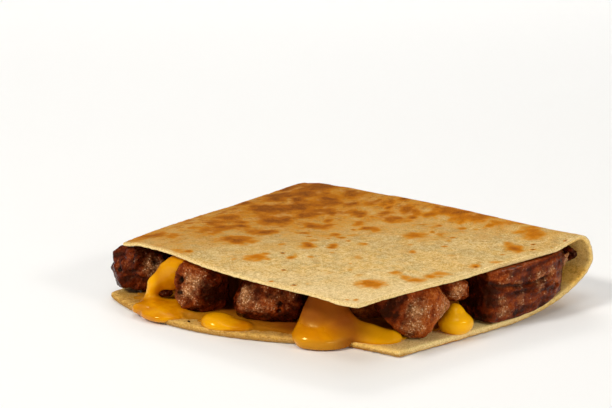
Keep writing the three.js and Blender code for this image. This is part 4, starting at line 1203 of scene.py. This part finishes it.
def tortilla_material():
    m = Nodes("tortilla_flour")
    toast, tan, side, soak, crust_and_painted_shade = (m.attr(k) for k in ("toast", "tan", "side", "soak", "crust_and_painted_shade"))
    n0 = m.noise(8.0, 4, 0.55, 21)
    n1 = m.noise(4.0, 4, 0.6, 1)
    n2 = m.noise(1.6, 4, 0.65, 2)
    n3 = m.noise(0.46, 3, 0.75, 3)
    # cream with yellowish and grey-green patches and a fine floury grain
    cream = m.ramp(n1, [(0.36, srgb(192, 150, 78)), (0.50, srgb(204, 165, 93)), (0.62, srgb(218, 184, 116))])
    cream = m.mix(m.span(n0, 0.48, 0.60, 0, 0.60), cream, srgb(182, 154, 92))
    cream = m.mix(m.span(m.noise(6.0, 4, 0.6, 33), 0.48, 0.60, 0, 0.60), cream, srgb(216, 168, 78))
    cream = m.mix(m.span(tan, 0.0, -0.3, 0, 0.8), cream, srgb(228, 198, 140))
    # toasting with soft, grainy edges, on top of the broad tan
    t = m.math("MULTIPLY_ADD", m.math("SUBTRACT", n2, 0.5), 0.32, toast)
    t = m.math("MULTIPLY_ADD", m.math("SUBTRACT", n3, 0.5), 0.20, t)
    t = m.math("MULTIPLY_ADD", m.math("SUBTRACT", n1, 0.5), 0.30, t)
    t = m.math("MULTIPLY", t, m.span(toast, 0.0, 0.24), clamp=True)
    broad = m.math("MULTIPLY_ADD", m.math("SUBTRACT", n1, 0.5), 1.5, tan)
    broad = m.math("MULTIPLY_ADD", m.math("SUBTRACT", n2, 0.5), 0.9, broad)
    broad = m.math("MULTIPLY", m.math("MULTIPLY", broad, m.span(tan, 0.0, 0.3), clamp=True), 0.50)
    t = m.math("ADD", t, m.math("MULTIPLY", broad, m.math("SUBTRACT", 1.0, m.math("MULTIPLY", t, 0.75))), clamp=True)
    spot = m.ramp(t, [(0.0, srgb(194, 144, 62)), (0.22, srgb(201, 140, 28)), (0.42, srgb(206, 131, 6)), (0.60, srgb(198, 116, 2)), (0.80, srgb(174, 94, 1)), (1.0, srgb(130, 62, 1))])
    outer = m.mix(m.span(t, 0.0, 0.62), cream, spot)
    island = m.math("MULTIPLY", m.span(m.noise(7.0, 4, 0.62, 51), 0.50, 0.60, 0, 0.55), m.span(tan, 0.15, 0.7))
    island = m.math("MULTIPLY", island, m.span(toast, 0.55, 0.20))
    outer = m.mix(island, outer, srgb(216, 172, 98))
    fleck = m.math("MULTIPLY", m.span(m.noise(3.4, 4, 0.66, 57), 0.53, 0.63, 0, 0.60), m.span(tan, 0.2, 0.9))
    outer = m.mix(fleck, outer, srgb(150, 80, 2))
    # floury grain, less of it where it is toasted
    light = m.mix(m.span(t, 0.05, 0.45), srgb(250, 230, 180), srgb(222, 144, 22))
    calm = m.span(t, 0.15, 0.65, 1.0, 0.62)
    outer = m.mix(m.math("MULTIPLY", calm, m.span(n2, 0.50, 0.62, 0, 0.30)), outer, light)
    outer = m.mix(m.span(n2, 0.48, 0.38, 0, 0.30), outer, m.mix(0.6, outer, srgb(120, 84, 30)))
    outer = m.mix(m.math("MULTIPLY", calm, m.span(n3, 0.50, 0.62, 0, 0.46)), outer, light)
    outer = m.mix(m.span(n3, 0.50, 0.38, 0, 0.50), outer, m.mix(0.58, outer, srgb(110, 68, 14)))
    outer = m.mix(m.math("MULTIPLY", m.attr("edge"), m.span(n2, 0.40, 0.56, 0.35, 0.9)), outer, m.mix(m.span(n3, 0.42, 0.60), srgb(222, 184, 112), srgb(252, 230, 176)))
    outer = m.mix(m.attr("shade"), outer, srgb(70, 38, 4))
    outer = m.mix(m.span(toast, 1.0, 1.12, 0, 0.92), outer, srgb(44, 24, 8))
    # the doughy inside and the cut edges
    inside = m.ramp(n1, [(0.36, srgb(226, 186, 98)), (0.64, srgb(242, 208, 130))])
    inside = m.mix(m.span(n2, 0.50, 0.62, 0, 0.5), inside, srgb(202, 158, 80))
    inside = m.mix(m.span(n3, 0.46, 0.62, 0, 0.6), inside, srgb(244, 220, 162))
    inside = m.mix(m.span(n3, 0.48, 0.36, 0, 0.45), inside, srgb(180, 134, 58))
    # painted light on the cut edge faces
    inside = m.mix(m.span(m.attr("pale"), 0.1, 0.9, 0, 0.85), inside, m.mix(m.span(n3, 0.44, 0.6), srgb(240, 206, 138), srgb(254, 232, 178)))
    # painted light on the fold's inner wall and the lower flap by the +X cut
    inside = m.mix(m.math("MULTIPLY", m.attr("lit"), 0.75), inside, m.mix(m.span(n3, 0.44, 0.6), srgb(246, 216, 140), srgb(255, 238, 180)))
    amber = m.ramp(n2, [(0.3, srgb(162, 100, 8)), (0.7, srgb(202, 142, 30))])
    # golden stain, partly painted light on the shaded fold wall
    amber = m.mix(m.math("MULTIPLY", m.attr("gold"), 0.9), amber, m.mix(m.span(n2, 0.35, 0.65), srgb(236, 172, 52), srgb(252, 202, 92)))
    inside = m.mix(m.span(m.math("MULTIPLY_ADD", m.math("SUBTRACT", n1, 0.5), 0.6, soak), 0.05, 0.95, 0, 0.88), inside, amber)
    inside = m.mix(m.math("MULTIPLY", m.attr("flour"), m.span(n2, 0.40, 0.60, 0.15, 0.75)), inside, srgb(236, 192, 104))
    inside = m.mix(m.span(n3, 0.50, 0.62, 0, 0.38), inside, srgb(250, 214, 134))
    inside = m.mix(m.span(n3, 0.50, 0.38, 0, 0.45), inside, m.mix(0.5, inside, srgb(112, 66, 10)))
    inside = m.mix(m.math("MULTIPLY", m.span(n2, 0.50, 0.40, 0, 0.35), soak), inside, srgb(146, 88, 12))
    # crust and painted shade along the lower line of the edges
    inside = m.mix(m.span(m.math("MULTIPLY_ADD", m.math("SUBTRACT", n2, 0.5), 0.5, crust_and_painted_shade), 0.1, 0.8, 0, 0.85), inside, srgb(150, 92, 22))
    col = m.mix(m.span(side, 0.04, 0.24), outer, inside)
    m.link(col, m.bsdf.inputs["Base Color"])
    m.link(m.span(soak, 0.0, 1.0, 0.82, 0.42), m.bsdf.inputs["Roughness"])
    m.bsdf.inputs["Specular IOR Level"].default_value = 0.05
    m.bsdf.inputs["Subsurface Weight"].default_value = 0.06
    m.bsdf.inputs["Subsurface Radius"].default_value = (0.0014, 0.0009, 0.0004)
    m.bsdf.inputs["Subsurface Scale"].default_value = 1.0
    hgt = m.math("MULTIPLY_ADD", n3, 0.7, m.math("MULTIPLY", n2, 0.9))
    m.link(m.bump(hgt, 0.60, 0.24), m.bsdf.inputs["Normal"])
    return m.mat


def beef_material():
    m = Nodes("beef_seared")
    cavity_shade, tone, fib, fat, hollow = (m.attr(k) for k in ("cavity_shade", "tone", "fib", "fat", "hollow"))
    n1 = m.noise(2.6, 4, 0.6, 4)
    n2 = m.noise(1.0, 4, 0.7, 5)
    n3 = m.noise(0.50, 3, 0.7, 6)
    t = m.math("MULTIPLY_ADD", m.math("SUBTRACT", n1, 0.5), m.span(m.attr("calm"), 0, 1, 0.60, 0.22), tone)
    t = m.math("MULTIPLY_ADD", m.math("SUBTRACT", n2, 0.5), 0.55, t)
    t = m.math("MULTIPLY_ADD", m.math("SUBTRACT", fib, 0.5), 0.34, t)
    t = m.math("SUBTRACT", t, 0.05, clamp=True)
    col = m.ramp(t, [(0.0, srgb(44, 8, 1)), (0.20, srgb(88, 26, 3)), (0.40, srgb(130, 50, 8)), (0.60, srgb(164, 76, 20)), (0.80, srgb(192, 110, 46)), (1.0, srgb(216, 150, 86))])
    pale = m.mix(m.span(n2, 0.38, 0.62), srgb(124, 70, 32), srgb(210, 160, 108))
    col = m.mix(m.span(m.math("MULTIPLY_ADD", m.math("SUBTRACT", n1, 0.5), 0.9, fat), 0.14, 0.9, 0, 0.85), col, pale)
    # light crumbs of grain, partly painted glistening highlights, and the dark between them
    speck = m.math("MULTIPLY", m.span(n3, 0.54, 0.66, 0, 0.45), m.span(m.math("ADD", t, fat), 0.20, 0.85, 0.0, 1.0))
    col = m.mix(speck, col, srgb(214, 138, 80))
    col = m.mix(m.span(n3, 0.47, 0.36, 0, 0.50), col, srgb(62, 18, 3))
    # painted glints: small light dots in patches stand in for highlights on the wet meat
    painted_glint = m.math("MULTIPLY", m.span(m.voronoi(0.85), 0.36, 0.20), m.span(m.math("ADD", m.math("MULTIPLY_ADD", fat, 0.58, m.math("MULTIPLY", t, 0.12)), m.math("SUBTRACT", n1, 0.5)), 0.14, 0.36))
    col = m.mix(m.math("MULTIPLY", painted_glint, 0.74), col, srgb(240, 196, 150))
    # painted shade in the dips, and near black in the pits and grooves, partly char
    col = m.mix(m.span(cavity_shade, 0.50, 0.10, 0, 0.55), col, srgb(50, 14, 3))
    col = m.mix(m.span(hollow, 0.25, 0.9, 0, 0.95), col, srgb(14, 4, 3))
    m.link(col, m.bsdf.inputs["Base Color"])
    m.link(m.span(n2, 0.35, 0.65, 0.10, 0.18), m.bsdf.inputs["Roughness"])
    m.bsdf.inputs["Specular IOR Level"].default_value = 0.13
    m.bsdf.inputs["Specular Tint"].default_value = (1.0, 0.60, 0.32, 1)
    m.bsdf.inputs["Subsurface Weight"].default_value = 0.05
    m.bsdf.inputs["Subsurface Radius"].default_value = (0.0014, 0.0005, 0.0003)
    m.bsdf.inputs["Subsurface Scale"].default_value = 1.0
    hgt = m.math("MULTIPLY_ADD", n3, 0.16, m.math("MULTIPLY_ADD", m.noise(1.7, 2, 0.5, 14), 1.0, m.math("MULTIPLY", n1, 0.8)))
    m.link(m.bump(hgt, 1.0, 0.75), m.bsdf.inputs["Normal"])
    return m.mat


def cheese_material():
    m = Nodes("cheese_melted")
    thin, deep = m.attr("thin"), m.attr("deep")
    n1 = m.noise(7, 3, 0.5, 7)
    n2 = m.noise(1.6, 3, 0.6, 8)
    col = m.ramp(n1, [(0.36, srgb(202, 121, 0)), (0.50, srgb(213, 136, 1)), (0.64, srgb(224, 151, 2))])
    col = m.mix(m.span(m.math("MULTIPLY_ADD", m.math("SUBTRACT", n2, 0.5), 0.5, thin), 0.1, 0.9, 0, 0.90), col, srgb(184, 120, 26))
    # painted shade under the upper flap: a darker orange-brown
    col = m.mix(m.span(deep, 0.0, 1.0, 0, 0.94), col, srgb(130, 56, 0))
    # painted light and a painted highlight: brighter yellow from the mask above
    col = m.mix(m.math("MULTIPLY", m.attr("painted_light"), 0.90), col, srgb(255, 184, 6))
    m.link(col, m.bsdf.inputs["Base Color"])
    m.link(m.math("ADD", m.span(n2, 0.3, 0.7, 0.09, 0.19), m.span(deep, 0.25, 0.9, 0, 0.55)), m.bsdf.inputs["Roughness"])
    m.bsdf.inputs["Specular IOR Level"].default_value = 0.40
    m.bsdf.inputs["Specular Tint"].default_value = (1.0, 0.80, 0.30, 1)
    m.bsdf.inputs["Subsurface Weight"].default_value = 0.07
    m.bsdf.inputs["Subsurface Radius"].default_value = (0.0018, 0.0014, 0.0002)
    m.bsdf.inputs["Subsurface Scale"].default_value = 1.0
    m.link(m.bump(m.math("MULTIPLY_ADD", m.noise(3.2, 2, 0.5, 17), 1.2, n2), 0.34, 0.30), m.bsdf.inputs["Normal"])
    return m.mat


# ------------------------------------------------------------------ camera, light, floor
def mm(x, y, z):
    return tuple((np.array([x, y, z]) - ORIGIN) * 0.001)


cam_data = bpy.data.cameras.new("camera")
cam_data.lens = 100
cam_data.sensor_width = 36
cam_data.sensor_fit = "HORIZONTAL"
cam_data.clip_start = 0.01
cam = bpy.data.objects.new("camera", cam_data)
bpy.context.scene.collection.objects.link(cam)
cam.location = mm(372.2, -437.6, 186.58)
cam.rotation_euler = (math.radians(90 - 14.608), 0, math.radians(42))
bpy.context.scene.camera = cam


def area_light(name, azimuth, elevation, distance, size, watts, colour=(1, 1, 1), aim=(0, 0, 0.012)):
    """azimuth is turned from the camera's side, to the right if positive."""
    a = math.radians(azimuth + 42 - 90)
    e = math.radians(elevation)
    p = Vector((math.cos(a) * math.cos(e), math.sin(a) * math.cos(e), math.sin(e))) * distance + Vector(aim)
    d = bpy.data.lights.new(name, "AREA")
    d.shape = "RECTANGLE"
    d.size, d.size_y = size
    d.energy = watts
    d.color = colour
    o = bpy.data.objects.new(name, d)
    bpy.context.scene.collection.objects.link(o)
    o.location = p
    o.rotation_euler = (Vector(aim) - p).to_track_quat("-Z", "Y").to_euler()
    return o


area_light("key", -58, 40, 1.6, (0.26, 0.22), 14.2, (1.0, 0.97, 0.92))
area_light("fill", 54, 26, 1.6, (0.28, 0.22), 6.8, (1.0, 0.97, 0.93))
area_light("low", 22, 10, 1.6, (0.24, 0.16), 2.6, (1.0, 0.97, 0.92))
area_light("front", -10, 74, 1.6, (0.7, 0.5), 4.0, (1.0, 0.98, 0.95))
area_light("overhead", 170, 70, 1.6, (1.0, 0.9), 3.6, (1.0, 0.985, 0.96))
back = area_light("backdrop", 180, 52, 2.6, (2.2, 1.6), 13.6, (1.0, 0.99, 0.98), aim=(-1.1, 1.22, 0.0))
back.data.spread = math.radians(44)

world = bpy.data.worlds.new("studio")
bpy.context.scene.world = world
world.use_nodes = True
world.node_tree.nodes["Background"].inputs[0].default_value = (1, 1, 1, 1)
world.node_tree.nodes["Background"].inputs[1].default_value = 0.20

floor_mesh = bpy.data.meshes.new("floor")
s = 6.0
floor_mesh.from_pydata([(-s, -s, -0.0002), (s, -s, -0.0002), (s, s, -0.0002), (-s, s, -0.0002)], [], [(0, 1, 2, 3)])
floor = bpy.data.objects.new("floor", floor_mesh)
bpy.context.scene.collection.objects.link(floor)
fm = bpy.data.materials.new("floor")
fm.use_nodes = True
fb = fm.node_tree.nodes["Principled BSDF"]
fb.inputs["Base Color"].default_value = (0.90, 0.90, 0.89, 1)
fb.inputs["Roughness"].default_value = 0.9
floor_mesh.materials.append(fm)

# ------------------------------------------------------------------ the piece
made = build_tortilla()
made.data.materials.append(tortilla_material())
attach(made, "root")
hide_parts("tortilla")

meat = beef_material()
for name, c in CHUNKS.items():
    o = build_chunk(name, c)
    o.data.materials.append(meat)
    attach(o, "root")
    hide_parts(name)

crumbs = build_crumbs()
crumbs.data.materials.append(meat)
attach(crumbs, "root")

cheese = build_cheese()
cheese.data.materials.append(cheese_material())
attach(cheese, "root")
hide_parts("cheese")

bpy.context.scene.view_settings.view_transform = "Standard"
bpy.context.scene.view_settings.look = "None"
